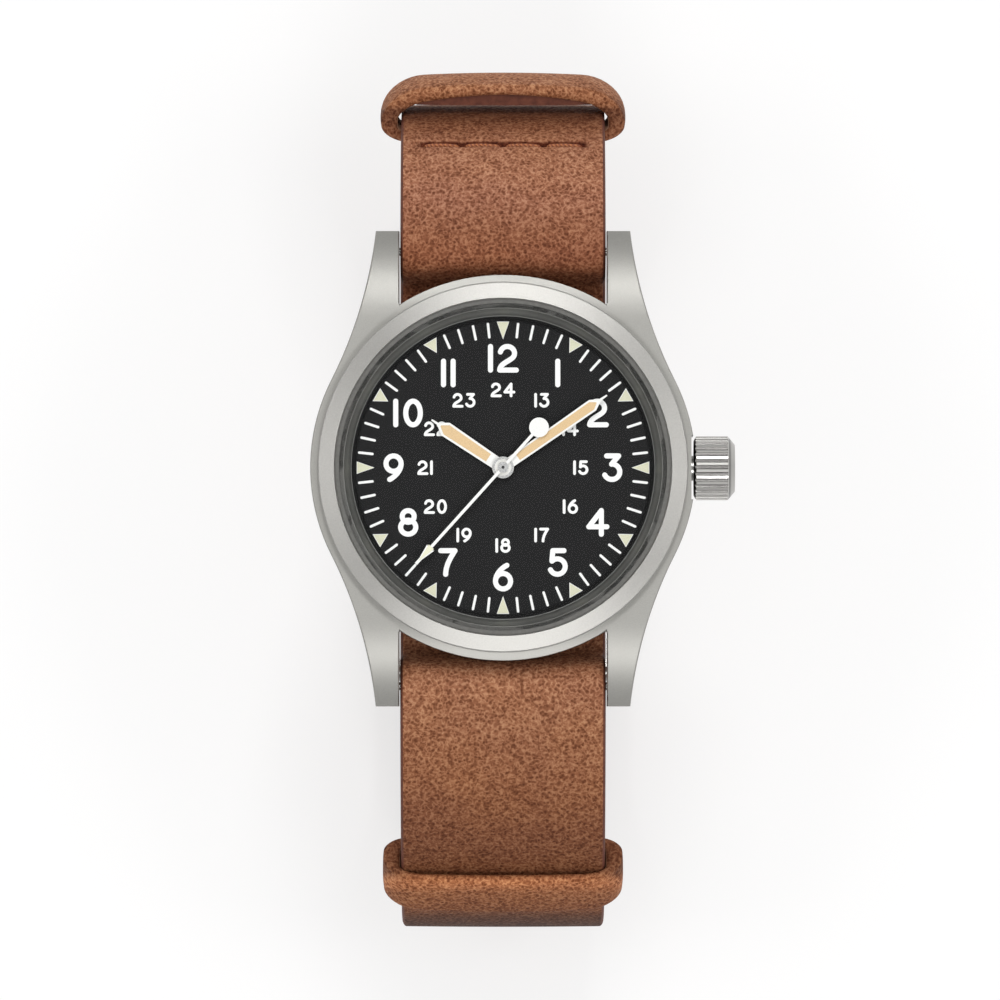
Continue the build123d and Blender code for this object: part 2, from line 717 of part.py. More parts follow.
def undercut_cutter():
    """Slope under the edge of the case that the strap passes."""
    slope = turned((
        (CASE_R - CASE_UNDERCUT, CASE_FLOOR_Z),
        (CASE_R + OVERRUN, CASE_FLOOR_Z + CASE_UNDERCUT_RISE * (1 + OVERRUN / CASE_UNDERCUT)),
        (CASE_R + OVERRUN, CASE_FLOOR_Z),
    ))
    between = block(
        (-LUG_GAP / 2, LUG_GAP / 2), (-LUG_TIP_Y, LUG_TIP_Y), (CASE_FLOOR_Z, CASE_TOP_Z))
    return slope & between


def gap_bevel():
    """Small slope on the edge of the case that stands over the strap."""
    slope = turned((
        (CASE_R - CASE_EDGE, CASE_TOP_Z),
        (CASE_R - CASE_EDGE, CASE_TOP_Z + OVERRUN),
        (CASE_R + OVERRUN, CASE_TOP_Z + OVERRUN),
        (CASE_R + OVERRUN, CASE_TOP_Z - CASE_EDGE - OVERRUN),
    ))
    half = LUG_GAP / 2
    return slope & block(
        (-half, half), (-LUG_TIP_Y, LUG_TIP_Y), (CASE_FLOOR_Z, CASE_TOP_Z + OVERRUN))


def outer_rim(body):
    """Edges round the top of the case, out to the tips of its lugs."""
    top = [edge for edge in body.edges() if edge.center().Z > LUG_TIP_HIGH_Z + OVERRUN]
    return [edge for edge in top if abs(edge.center().X) > LUG_GAP / 2]


def lug_inner_edges(body):
    """Top edges of the lugs along the strap."""
    found = []
    for edge in body.edges():
        middle = edge.center()
        beside = abs(abs(middle.X) - LUG_GAP / 2) < RUN_GAP
        level = abs(edge.start_point().X - edge.end_point().X) < RUN_GAP
        if beside and level and middle.Z > LUG_TIP_HIGH_Z and edge.length > LUG_TIP_W:
            found.append(edge)
    return found


def mid_case():
    body = slab(case_plan(), LUG_TIP_LOW_Z - OVERRUN, CASE_TOP_Z + OVERRUN)
    profile = extrude(Plane.YZ * lug_profile(), amount=CASE_R + OVERRUN, both=True)
    body &= profile
    body = fillet(outer_rim(body), CASE_EDGE)
    for side in (1, -1):
        body -= strap_gap_cutter(side)
    body = fillet(lug_inner_edges(body), LUG_INNER_EDGE)
    body -= gap_bevel()
    body -= undercut_cutter()
    body -= block(
        (CROWN_FLAT_X, CASE_R + OVERRUN), (-CROWN_R, CROWN_R), (CASE_FLOOR_Z, CASE_TOP_Z + OVERRUN))
    body -= post(CASE_BORE_R, CASE_FLOOR_Z - OVERRUN, CASE_TOP_Z + OVERRUN)
    body -= post(RING_BORE_R, DIAL_TOP_Z, CASE_TOP_Z + OVERRUN)
    body -= ring(BEZEL_BORE_R, BEZEL_LIP_R + SEAT_GAP, CASE_TOP_Z - BEZEL_LIP_H, CASE_TOP_Z + OVERRUN)
    body -= post(BACK_THREAD_R + RUN_GAP, CASE_FLOOR_Z - OVERRUN, BACK_THREAD_TOP_Z)
    body -= ring(
        BACK_GASKET_IN_R, BACK_GASKET_OUT_R, CASE_FLOOR_Z - OVERRUN, CASE_FLOOR_Z + BACK_GASKET_T)
    body -= rod(TUBE_R, CASE_BORE_R - OVERRUN, CASE_R + OVERRUN)
    for side in (1, -1):
        reach = LUG_GAP / 2 + BAR_PIN_REACH + SEAT_GAP
        body -= rod(BAR_PIN_R + RUN_GAP, -reach, reach, side * BAR_Y, BAR_Z)
    return body


def bezel():
    return turned((
        (BEZEL_BORE_R, CASE_TOP_Z - BEZEL_LIP_H + SEAT_GAP),
        (BEZEL_LIP_R, CASE_TOP_Z - BEZEL_LIP_H + SEAT_GAP),
        (BEZEL_LIP_R, CASE_TOP_Z),
        (BEZEL_R, CASE_TOP_Z),
        (BEZEL_R, BEZEL_EDGE_Z),
        (BEZEL_R - BEZEL_EDGE, BEZEL_EDGE_Z + BEZEL_EDGE),
        (BEZEL_BORE_R + BEZEL_EDGE, BEZEL_TOP_Z),
        (BEZEL_BORE_R, BEZEL_TOP_Z - BEZEL_EDGE),
    ))


def crystal():
    top = CRYSTAL_Z + CRYSTAL_T
    return turned((
        (0, CRYSTAL_Z),
        (CRYSTAL_R, CRYSTAL_Z),
        (CRYSTAL_R, top - CRYSTAL_BEVEL),
        (CRYSTAL_R - CRYSTAL_BEVEL, top),
        (0, top),
    ))


def crystal_gasket():
    """L-shaped ring that seats the crystal on the case and in the bezel."""
    foot = ring(GASKET_FOOT_R, BEZEL_BORE_R, CASE_TOP_Z, CRYSTAL_Z)
    return foot + ring(CRYSTAL_R, BEZEL_BORE_R, CASE_TOP_Z, GASKET_TOP_Z)


def dial_ring():
    """Sloping ring between the dial and the crystal, with one step."""
    return turned((
        (DIAL_RING_FOOT_R, DIAL_TOP_Z),
        (RING_BORE_R, DIAL_TOP_Z),
        (RING_BORE_R, CASE_TOP_Z),
        (DIAL_RING_TOP_R, CASE_TOP_Z),
        (DIAL_RING_STEP_R, DIAL_TOP_Z + DIAL_RING_STEP_H),
        (DIAL_RING_FOOT_R, DIAL_TOP_Z + DIAL_RING_STEP_H - SEAT_GAP),
    ))


def dial():
    plate = ring(DIAL_HOLE_R, DIAL_R, PLATE_TOP_Z, DIAL_TOP_Z)
    for angle in DIAL_FOOT_ANGLES:
        at = polar(DIAL_FOOT_PLACE_R, angle)
        plate += post(DIAL_FOOT_R, PLATE_TOP_Z - DIAL_FOOT_L, PLATE_TOP_Z, at)
    return plate


def movement_ring():
    body = ring(MOVEMENT_R + SEAT_GAP, MOVEMENT_RING_R, BACK_LAND_T + SEAT_GAP, PLATE_TOP_Z)
    return body - rod(STEM_R + BLOCK_GAP, MOVEMENT_R - OVERRUN, MOVEMENT_RING_R + OVERRUN)


def case_back():
    """Screwed back: a flange outside, and a threaded skirt inside the case."""
    body = turned((
        (0, 0),
        (BACK_R - SEAT_GAP, 0),
        (BACK_R, SEAT_GAP),
        (BACK_R, BACK_T),
        (BACK_THREAD_R, BACK_T),
        (BACK_THREAD_R, BACK_THREAD_TOP_Z - SEAT_GAP),
        (BACK_THREAD_R - BACK_THREAD_T, BACK_THREAD_TOP_Z - SEAT_GAP),
        (BACK_THREAD_R - BACK_THREAD_T, BACK_LAND_T),
        (0, BACK_LAND_T),
    ))
    for notch in range(BACK_NOTCHES):
        slot = Pos(BACK_R - BACK_NOTCH_INSET, 0, 0) * Box(BACK_NOTCH_L, BACK_NOTCH_W, 2 * BACK_NOTCH_DEPTH)
        body -= Rot(0, 0, (notch + 1 / 2) * 360 / BACK_NOTCHES) * slot
    return body


def case_back_gasket():
    low = BACK_T
    return ring(BACK_GASKET_IN_R, BACK_GASKET_OUT_R, low, low + BACK_GASKET_T)


# Crown and stem
def crown_tube():
    return rod(TUBE_R, TUBE_START_X, TUBE_END_X) - rod(
        TUBE_BORE_R, TUBE_START_X - OVERRUN, TUBE_END_X + OVERRUN)


def crown():
    section = Polyline(
        (CROWN_BASE_X, 0),
        (CROWN_BASE_X, CROWN_BASE_R),
        (CROWN_FLUTE_X, CROWN_R),
        (CROWN_CAP_X, CROWN_R),
        (CROWN_END_X, CROWN_CAP_R),
        (CROWN_END_X, 0),
        close=True,
    )
    body = Pos(0, 0, STEM_Z) * revolve(make_face(section), Axis.X)
    cutter = rod(CROWN_FLUTE_R, CROWN_BASE_X - OVERRUN, CROWN_CAP_X, 0, 0)
    for flute in range(CROWN_FLUTES):
        turn = Rot(flute * 360 / CROWN_FLUTES, 0, 0)
        body -= Pos(0, 0, STEM_Z) * turn * Pos(0, 0, CROWN_R) * cutter
    body -= rod(TUBE_R + RUN_GAP, CROWN_BASE_X - OVERRUN, CROWN_BASE_X + CROWN_BORE_DEPTH)
    groove_end = CROWN_GASKET_X + CROWN_GASKET_L + RUN_GAP
    body -= rod(CROWN_GASKET_R + RUN_GAP, CROWN_GASKET_X - RUN_GAP, groove_end)
    body -= rod(STEM_R, CROWN_BASE_X + CROWN_BORE_DEPTH, crown_stem_end() + RUN_GAP)
    return body


def crown_stem_end():
    return CROWN_CAP_X - SEAT_GAP


def crown_gasket():
    return rod(CROWN_GASKET_R, CROWN_GASKET_X, CROWN_GASKET_X + CROWN_GASKET_L) - rod(
        TUBE_R + RUN_GAP, CROWN_GASKET_X - OVERRUN, CROWN_GASKET_X + CROWN_GASKET_L + OVERRUN)


def winding_stem():
    body = rod(STEM_R, STEM_SQUARE_END_X, crown_stem_end())
    body -= rod(STEM_R + OVERRUN, STEM_GROOVE_X, STEM_GROOVE_X + STEM_GROOVE_W)
    body += rod(STEM_GROOVE_R, STEM_GROOVE_X - OVERRUN, STEM_GROOVE_X + STEM_GROOVE_W + OVERRUN)
    half = STEM_SQUARE / 2
    body += block(
        (STEM_SQUARE_X, STEM_SQUARE_END_X), (-half, half), (STEM_Z - half, STEM_Z + half))
    return body + rod(STEM_PIVOT_R, STEM_PIVOT_X, STEM_SQUARE_X)


def winding_pinion():
    """Pinion that turns freely on the round of the stem and drives the crown wheel."""
    low = WINDING_PINION_X - WINDING_PINION_L / 2
    face = toothed_face(WINDING_PINION_TEETH, WINDING_MODULE, 0) - Circle(STEM_R + RUN_GAP)
    body = extrude(face, amount=WINDING_PINION_L)
    return Pos(low, 0, STEM_Z) * Rot(0, 90, 0) * body


def sliding_pinion():
    """Clutch on the square of the stem, with teeth at its inner end and a groove for the yoke."""
    end = SLIDING_PINION_X + SLIDING_PINION_L
    body = rod(SLIDING_PINION_R, SLIDING_PINION_X, end)
    groove_x = (SLIDING_PINION_X + end - SLIDING_GROOVE_W) / 2
    groove = rod(SLIDING_PINION_R + OVERRUN, groove_x, groove_x + SLIDING_GROOVE_W)
    body -= groove - rod(SLIDING_GROOVE_R, groove_x - OVERRUN, end)
    for tooth in range(SLIDING_TEETH):
        notch = block(
            (SLIDING_PINION_X - OVERRUN, SLIDING_PINION_X + SLIDING_TOOTH_H),
            (-SLIDING_TOOTH_H / 2, SLIDING_TOOTH_H / 2),
            (SLIDING_GROOVE_R, SLIDING_PINION_R + OVERRUN),
        )
        body -= Pos(0, 0, STEM_Z) * Rot(tooth * 360 / SLIDING_TEETH, 0, 0) * notch
    half = STEM_SQUARE / 2 + RUN_GAP
    hole = block(
        (SLIDING_PINION_X - OVERRUN, end + OVERRUN), (-half, half), (STEM_Z - half, STEM_Z + half))
    return body - hole


def lever(pivot, tip, width):
    """Flat lever with a round hub on its pivot."""
    plan = Pos(pivot[0], pivot[1], 0) * Circle(LEVER_HUB_R) + capsule(pivot, tip, width)
    plan -= Pos(pivot[0], pivot[1], 0) * Circle(LEVER_PIVOT_R + RUN_GAP)
    return slab(plan, LEVER_Z, LEVER_Z + LEVER_T)


def setting_lever_pivot():
    return (STEM_GROOVE_X + STEM_GROOVE_W / 2, SETTING_LEVER_Y)


def setting_lever():
    tip = (setting_lever_pivot()[0], 0)
    pin = post(SETTING_PIN_R, STEM_Z + STEM_GROOVE_R + RUN_GAP, LEVER_Z + LEVER_T, tip)
    return lever(setting_lever_pivot(), tip, LEVER_W) + pin


def yoke():
    tip = (SLIDING_PINION_X + SLIDING_PINION_L / 2, 0)
    pin = post(YOKE_TIP_W / 2, STEM_Z + SLIDING_GROOVE_R + RUN_GAP, LEVER_Z + LEVER_T, tip)
    return lever((YOKE_X, YOKE_Y), tip, YOKE_TIP_W) + pin


# Winding train on the back of the movement
def crown_wheel():
    """Spur teeth below, and face teeth above that the winding pinion drives."""
    pitch = CROWN_WHEEL_TEETH * WINDING_MODULE / 2
    body = gear(
        CROWN_WHEEL_TEETH, WINDING_MODULE, CROWN_WHEEL_PHASE, RATCHET_Z, CROWN_WHEEL_TOP_Z,
        CROWN_WHEEL_AT, CROWN_WHEEL_BORE_R)
    width = pi * WINDING_MODULE / 2
    for tooth in range(CROWN_WHEEL_TEETH):
        notch = block(
            (pitch - WINDING_PINION_L / 2, pitch + 2 * WINDING_MODULE),
            (-width / 2, width / 2),
            (CROWN_WHEEL_TOP_Z - CONTRATE_DEPTH, CROWN_WHEEL_TOP_Z + OVERRUN),
        )
        turn = Rot(0, 0, CROWN_WHEEL_PHASE + tooth * 360 / CROWN_WHEEL_TEETH)
        body -= Pos(CROWN_WHEEL_X, 0, 0) * turn * notch
    return body


def ratchet_wheel():
    body = gear(
        RATCHET_TEETH, WINDING_MODULE, RATCHET_PHASE, RATCHET_Z, RATCHET_Z + RATCHET_T, BARREL_AT)
    half = ARBOR_SQUARE / 2
    hole = block((-half, half), (-half, half), (RATCHET_Z - OVERRUN, RATCHET_Z + OVERRUN))
    return body - Pos(BARREL_AT[0], BARREL_AT[1], 0) * hole


def barrel_arbor():
    core_low = DRUM_Z + DRUM_COVER_T + SEAT_GAP
    core_high = DRUM_TOP_Z - DRUM_WALL - SEAT_GAP
    half = ARBOR_SQUARE / 2
    square = block((-half, half), (-half, half), (RATCHET_Z, RATCHET_Z + RATCHET_T))
    body = post(ARBOR_R, core_low, core_high, BARREL_AT)
    body += post(ARBOR_SHOULDER_R, RATCHET_Z + RATCHET_T, core_low, BARREL_AT)
    body += post(ARBOR_PIVOT_R, core_high, DIAL_SIDE_Z - SEAT_GAP, BARREL_AT)
    return body + Pos(BARREL_AT[0], BARREL_AT[1], 0) * square


def barrel_drum():
    body = post(DRUM_R, DRUM_Z, DRUM_TOP_Z, BARREL_AT)
    body += gear(
        BARREL_TEETH, BARREL_MODULE, BARREL_PHASE, DRUM_TOOTH_Z, DRUM_TOOTH_Z + DRUM_TOOTH_L,
        BARREL_AT)
    body -= post(DRUM_R - DRUM_WALL, DRUM_Z - OVERRUN, DRUM_TOP_Z - DRUM_WALL, BARREL_AT)
    return body - post(ARBOR_PIVOT_R + RUN_GAP, DRUM_Z, DRUM_TOP_Z + OVERRUN, BARREL_AT)


def barrel_cover():
    return ring(
        ARBOR_SHOULDER_R + RUN_GAP, DRUM_R - DRUM_WALL, DRUM_Z, DRUM_Z + DRUM_COVER_T, BARREL_AT)


def spiral(start_r, pitch, turns, thickness, low, high):
    """Flat spring strip of half-turn arcs, whose centres step aside to keep it smooth."""
    edges = []
    ends = []
    for side in (1, -1):
        radius = start_r + side * thickness / 2
        centre = 0
        here = (radius, 0)
        ends.append(here)
        for half_turn in range(2 * turns):
            way = 1 if half_turn % 2 == 0 else -1
            there = (centre - way * radius, 0)
            edges.append(ThreePointArc(here, (centre, way * radius), there))
            here = there
            centre += way * pitch / 2
            radius += pitch / 2
        ends.append(here)
    edges.append(Line(ends[0], ends[2]))
    edges.append(Line(ends[1], ends[3]))
    return slab(make_face(edges), low, high)


def mainspring():
    low = DRUM_Z + DRUM_COVER_T + MAINSPRING_EDGE_GAP
    high = DRUM_TOP_Z - DRUM_WALL - MAINSPRING_EDGE_GAP
    body = spiral(
        ARBOR_R + MAINSPRING_T, MAINSPRING_PITCH, MAINSPRING_TURNS, MAINSPRING_T, low, high)
    return Pos(BARREL_AT[0], BARREL_AT[1], 0) * body


def beside_ratchet(reach, angle):
    """Point at a reach outside the pitch circle of the ratchet wheel."""
    step = polar(RATCHET_TEETH * WINDING_MODULE / 2 + reach, angle)
    return (BARREL_AT[0] + step[0], BARREL_AT[1] + step[1])


def click_pivot():
    return beside_ratchet(CLICK_REACH, CLICK_ANGLE)


def click_tip():
    """Round point of the click, just outside the teeth of the ratchet wheel."""
    reach = TIP_MODULE_SHARE * WINDING_MODULE + CLICK_CLEAR + CLICK_W / 2
    return beside_ratchet(reach, CLICK_ANGLE - CLICK_LEAN)


def click():
    at = click_pivot()
    plan = Pos(at[0], at[1], 0) * Circle(LEVER_HUB_R) + capsule(at, click_tip(), CLICK_W)
    plan -= Pos(at[0], at[1], 0) * Circle(LEVER_PIVOT_R + RUN_GAP)
    return slab(plan, RATCHET_Z, RATCHET_Z + RATCHET_T)


def click_spring():
    """Wire spring that lies against the click and is held by a round foot."""
    at = click_pivot()
    angle = bearing(at, click_tip())
    side = polar(LEVER_HUB_R + CLICK_SPRING_T / 2 + SEAT_GAP, angle + 90)
    start = (at[0] + side[0], at[1] + side[1])
    step = polar(CLICK_SPRING_L, angle)
    end = (start[0] + step[0], start[1] + step[1])
    plan = capsule(start, end, CLICK_SPRING_T) + Pos(end[0], end[1], 0) * Circle(CLICK_SPRING_END_R)
    return slab(plan, RATCHET_Z, MOVEMENT_BASE_Z)


# Going train
def seconds_wheel():
    body = crossed_wheel(
        SECONDS_TEETH, SECONDS_MODULE, SECONDS_PHASE, SECONDS_WHEEL_Z, SECONDS_WHEEL_Z + WHEEL_T,
        CENTRE)
    body += gear(
        SECONDS_PINION_TEETH, THIRD_MODULE, SECONDS_PINION_PHASE, SECONDS_PINION_Z,
        SECONDS_PINION_Z + SECONDS_PINION_L)
    body += post(PINION_ARBOR_R, SECONDS_WHEEL_Z, PLATE_UNDER_Z - SEAT_GAP)
    return body + post(SECONDS_ARBOR_R, PIVOT_LOW_Z, SECONDS_HAND_Z + HAND_T)


def third_wheel():
    body = crossed_wheel(
        THIRD_TEETH, THIRD_MODULE, THIRD_PHASE, THIRD_WHEEL_Z, THIRD_WHEEL_Z + WHEEL_T, THIRD_AT)
    for low, length in ((THIRD_PINION_Z, THIRD_PINION_L), (MOTION_DRIVE_Z, MOTION_DRIVE_L)):
        body += gear(
            THIRD_PINION_TEETH, SECOND_MODULE, THIRD_PINION_PHASE, low, low + length, THIRD_AT)
    return body + arbor(THIRD_AT, high=MOTION_DRIVE_Z + MOTION_DRIVE_L)


def second_wheel():
    body = crossed_wheel(
        SECOND_TEETH, SECOND_MODULE, SECOND_PHASE, SECOND_WHEEL_Z, SECOND_WHEEL_Z + WHEEL_T,
        SECOND_AT)
    body += gear(
        SECOND_PINION_TEETH, BARREL_MODULE, SECOND_PINION_PHASE, SECOND_PINION_Z,
        SECOND_PINION_Z + SECOND_PINION_L, SECOND_AT)
    return body + arbor(SECOND_AT)


# Escapement
def escape_wheel():
    points = []
    for tooth in range(ESCAPE_TEETH):
        start = tooth * 360 / ESCAPE_TEETH
        pitch = 360 / ESCAPE_TEETH
        points.append(polar(ESCAPE_R, start))
        points.append(polar(ESCAPE_R, start + pitch / 8))
        points.append(polar(ESCAPE_R * 3 / 4, start + pitch / 2))
        points.append(polar(ESCAPE_R * 3 / 4, start + pitch * 7 / 8))
    window = Circle(ESCAPE_R * 3 / 5) - Circle(ESCAPE_R / 4)
    for arm in range(4):
        bar = Rectangle(ESCAPE_R, WHEEL_ARM_W, align=(Align.MIN, Align.CENTER))
        window -= Rot(0, 0, arm * 90) * bar
    face = make_face(Polyline(*points, close=True)) - window
    body = Pos(ESCAPE_AT[0], ESCAPE_AT[1], 0) * slab(face, ESCAPE_Z, ESCAPE_Z + ESCAPE_T)
    body += gear(
        ESCAPE_PINION_TEETH, SECONDS_MODULE, ESCAPE_PINION_PHASE, SECONDS_WHEEL_Z - SEAT_GAP,
        SECONDS_WHEEL_Z + WHEEL_T + SEAT_GAP, ESCAPE_AT)
    body += post(PIVOT_R, PIVOT_LOW_Z, PIVOT_HIGH_Z, ESCAPE_AT)
    return body + post(PINION_ARBOR_R, SECONDS_WHEEL_Z, ESCAPE_Z + ESCAPE_T, ESCAPE_AT)


def pallet_fork():
    """Anchor with two stones towards the escape wheel, and a fork towards the balance."""
    half = PALLET_SPAN
    anchor = capsule((0, -half), (0, half), PALLET_ARM_W)
    anchor += capsule((0, 0), (FORK_L - FORK_SLOT_L, 0), PALLET_ARM_W)
    head = Pos(FORK_L - FORK_SLOT_L / 2, 0) * Rectangle(FORK_SLOT_L, FORK_HEAD_W)
    anchor += head
    anchor -= Pos(FORK_L, 0) * Rectangle(2 * FORK_SLOT_L - PALLET_ARM_W, FORK_SLOT_W)
    for side in (1, -1):
        stone = Rectangle(PALLET_STONE_L, PALLET_STONE_W, align=(Align.MAX, Align.CENTER))
        anchor += Pos(0, side * half) * stone
    anchor += Circle(PINION_ARBOR_R + PALLET_ARM_W / 2)
    turn = Pos(PALLET_AT[0], PALLET_AT[1], 0) * Rot(0, 0, PALLET_TOWARDS)
    body = turn * slab(anchor, ESCAPE_Z, ESCAPE_Z + ESCAPE_T)
    return body + post(PIVOT_R, ROLLER_Z, PIVOT_HIGH_Z, PALLET_AT)


def balance_wheel():
    body = ring(BALANCE_R - BALANCE_RIM_W, BALANCE_R, BALANCE_Z, BALANCE_Z + BALANCE_RIM_T)
    for arm in range(BALANCE_ARMS):
        bar = Rectangle(BALANCE_R - BALANCE_RIM_W / 2, BALANCE_ARM_W, align=(Align.MIN, Align.CENTER))
        turn = Rot(0, 0, arm * 360 / BALANCE_ARMS)
        body += turn * slab(bar, BALANCE_Z, BALANCE_Z + BALANCE_ARM_T)
    body += post(BALANCE_HUB_R, BALANCE_Z, BALANCE_Z + BALANCE_ARM_T)
    body += post(STAFF_R, HAIRSPRING_Z - SEAT_GAP, ROLLER_Z)
    body += post(COLLET_R, HAIRSPRING_Z, HAIRSPRING_Z + HAIRSPRING_H)
    body += post(ROLLER_R, ROLLER_Z, ROLLER_Z + ROLLER_T)
    body += post(PIVOT_R, PIVOT_LOW_Z, PIVOT_HIGH_Z)
    jewel_at = polar(ROLLER_JEWEL_PLACE_R, PALLET_TOWARDS + 180)
    body += post(ROLLER_JEWEL_R, ROLLER_Z, ROLLER_JEWEL_TOP_Z, jewel_at)
    return Pos(BALANCE_AT[0], BALANCE_AT[1], 0) * body


def cock_foot():
    return polar(BRIDGE_SCREW_PLACE_R, BRIDGE_SCREW_ANGLES[4])


def hairspring():
    """Spiral whose outer end lies under the cock."""
    body = spiral(
        HAIRSPRING_START_R, HAIRSPRING_PITCH, HAIRSPRING_TURNS, HAIRSPRING_T, HAIRSPRING_Z,
        HAIRSPRING_Z + HAIRSPRING_H)
    turn = Rot(0, 0, bearing(BALANCE_AT, cock_foot()))
    return Pos(BALANCE_AT[0], BALANCE_AT[1], 0) * turn * body


def hairspring_stud():
    """Post of the cock that holds the outer end of the hairspring."""
    reach = HAIRSPRING_START_R + HAIRSPRING_PITCH * HAIRSPRING_TURNS + HAIRSPRING_T / 2 + STUD_R
    step = polar(reach, bearing(BALANCE_AT, cock_foot()))
    at = (BALANCE_AT[0] + step[0], BALANCE_AT[1] + step[1])
    return post(STUD_R, BRIDGE_TOP_Z, HAIRSPRING_Z + HAIRSPRING_H, at)


# Motion work
def centre_tube():
    return ring(CENTRE_TUBE_BORE_R, CENTRE_TUBE_R, PLATE_UNDER_Z, CENTRE_TUBE_TOP_Z)


def cannon_pinion():
    """Pipe of the minute hand, with its pinion and the wheel that the third wheel drives."""
    body = crossed_wheel(
        SECOND_TEETH, SECOND_MODULE, CANNON_DRIVE_PHASE, MOTION_DRIVE_Z,
        MOTION_DRIVE_Z + MOTION_DRIVE_L, CENTRE)
    body += gear(
        CANNON_TEETH, CANNON_MODULE, CANNON_PHASE, CANNON_PINION_Z - SEAT_GAP, HOUR_WHEEL_Z - SEAT_GAP)
    body += post(CANNON_PIPE_R, MOTION_DRIVE_Z, CANNON_TOP_Z)
    return body - post(CANNON_BORE_R, MOTION_DRIVE_Z - OVERRUN, CANNON_TOP_Z + OVERRUN)


def minute_wheel():
    body = gear(
        MINUTE_TEETH, CANNON_MODULE, MINUTE_PHASE, MINUTE_WHEEL_Z, MINUTE_WHEEL_Z + MINUTE_WHEEL_T,
        MINUTE_AT)
    body += gear(
        MINUTE_PINION_TEETH, HOUR_MODULE, MINUTE_PINION_PHASE, MINUTE_WHEEL_Z,
        HOUR_WHEEL_Z + HOUR_WHEEL_T, MINUTE_AT)
    return body - post(MINUTE_STUD_R + RUN_GAP, MINUTE_WHEEL_Z - OVERRUN, PLATE_TOP_Z, MINUTE_AT)


def hour_wheel():
    body = gear(
        HOUR_TEETH, HOUR_MODULE, HOUR_PHASE, HOUR_WHEEL_Z, HOUR_WHEEL_Z + HOUR_WHEEL_T)
    body += post(HOUR_PIPE_R, HOUR_WHEEL_Z, HOUR_TOP_Z)
    return body - post(CANNON_PIPE_R + RUN_GAP, HOUR_WHEEL_Z - OVERRUN, HOUR_TOP_Z + OVERRUN)


def setting_wheel():
    return gear(
        SETTING_TEETH, CANNON_MODULE, SETTING_PHASE, MINUTE_WHEEL_Z,
        MINUTE_WHEEL_Z + MINUTE_WHEEL_T, SETTING_AT, MINUTE_STUD_R + RUN_GAP)


# Plates and bridges
def train_pockets(depth_gap):
    """Room in the main plate for the wheels, open towards the bridges."""
    wheels = (
        (BARREL_AT, BARREL_TEETH * BARREL_MODULE / 2, BARREL_POCKET_Z),
        (CENTRE, SECONDS_TEETH * SECONDS_MODULE / 2, PLATE_UNDER_Z),
        (THIRD_AT, THIRD_TEETH * THIRD_MODULE / 2, PLATE_UNDER_Z),
        (SECOND_AT, SECOND_TEETH * SECOND_MODULE / 2, PLATE_UNDER_Z),
        (BALANCE_AT, BALANCE_R, PLATE_UNDER_Z),
        (ESCAPE_AT, ESCAPE_R, ESCAPE_POCKET_Z),
        (PALLET_AT, FORK_L, ESCAPE_POCKET_Z),
        (CROWN_WHEEL_AT, CROWN_WHEEL_TEETH * WINDING_MODULE / 2 + WINDING_MODULE, CROWN_WHEEL_TOP_Z),
    )
    return [
        post(radius + depth_gap, BRIDGE_TOP_Z - OVERRUN, top, at) for at, radius, top in wheels
    ]


def stem_slots():
    """Rooms along the stem: one for the clutch, and one right through for the pinion."""
    half = WINDING_PINION_TEETH * WINDING_MODULE / 2 + WINDING_MODULE + SEAT_GAP
    pinion_low = WINDING_PINION_X - WINDING_PINION_L / 2 - SEAT_GAP
    pinion_high = WINDING_PINION_X + WINDING_PINION_L / 2 + SEAT_GAP
    clutch_low = SLIDING_PINION_X - SLIDING_TRAVEL - BLOCK_GAP / 2
    floor = STEM_Z - SLIDING_PINION_R - RUN_GAP
    return [
        block((clutch_low, pinion_high), (-half, half), (floor, PLATE_TOP_Z + OVERRUN)),
        block((pinion_low, pinion_high), (-half, half), (BRIDGE_TOP_Z - OVERRUN, PLATE_TOP_Z)),
    ]


def lever_pocket():
    """Shallow pocket on the dial side for the levers."""
    far = STEM_GROOVE_X + CROWN_PULL + 2 * LEVER_HUB_R
    low = YOKE_Y - LEVER_HUB_R - BLOCK_GAP
    near = YOKE_X - LEVER_HUB_R - BLOCK_GAP
    return block((near, far), (low, LEVER_HUB_R), (DIAL_SIDE_Z, PLATE_TOP_Z + OVERRUN))


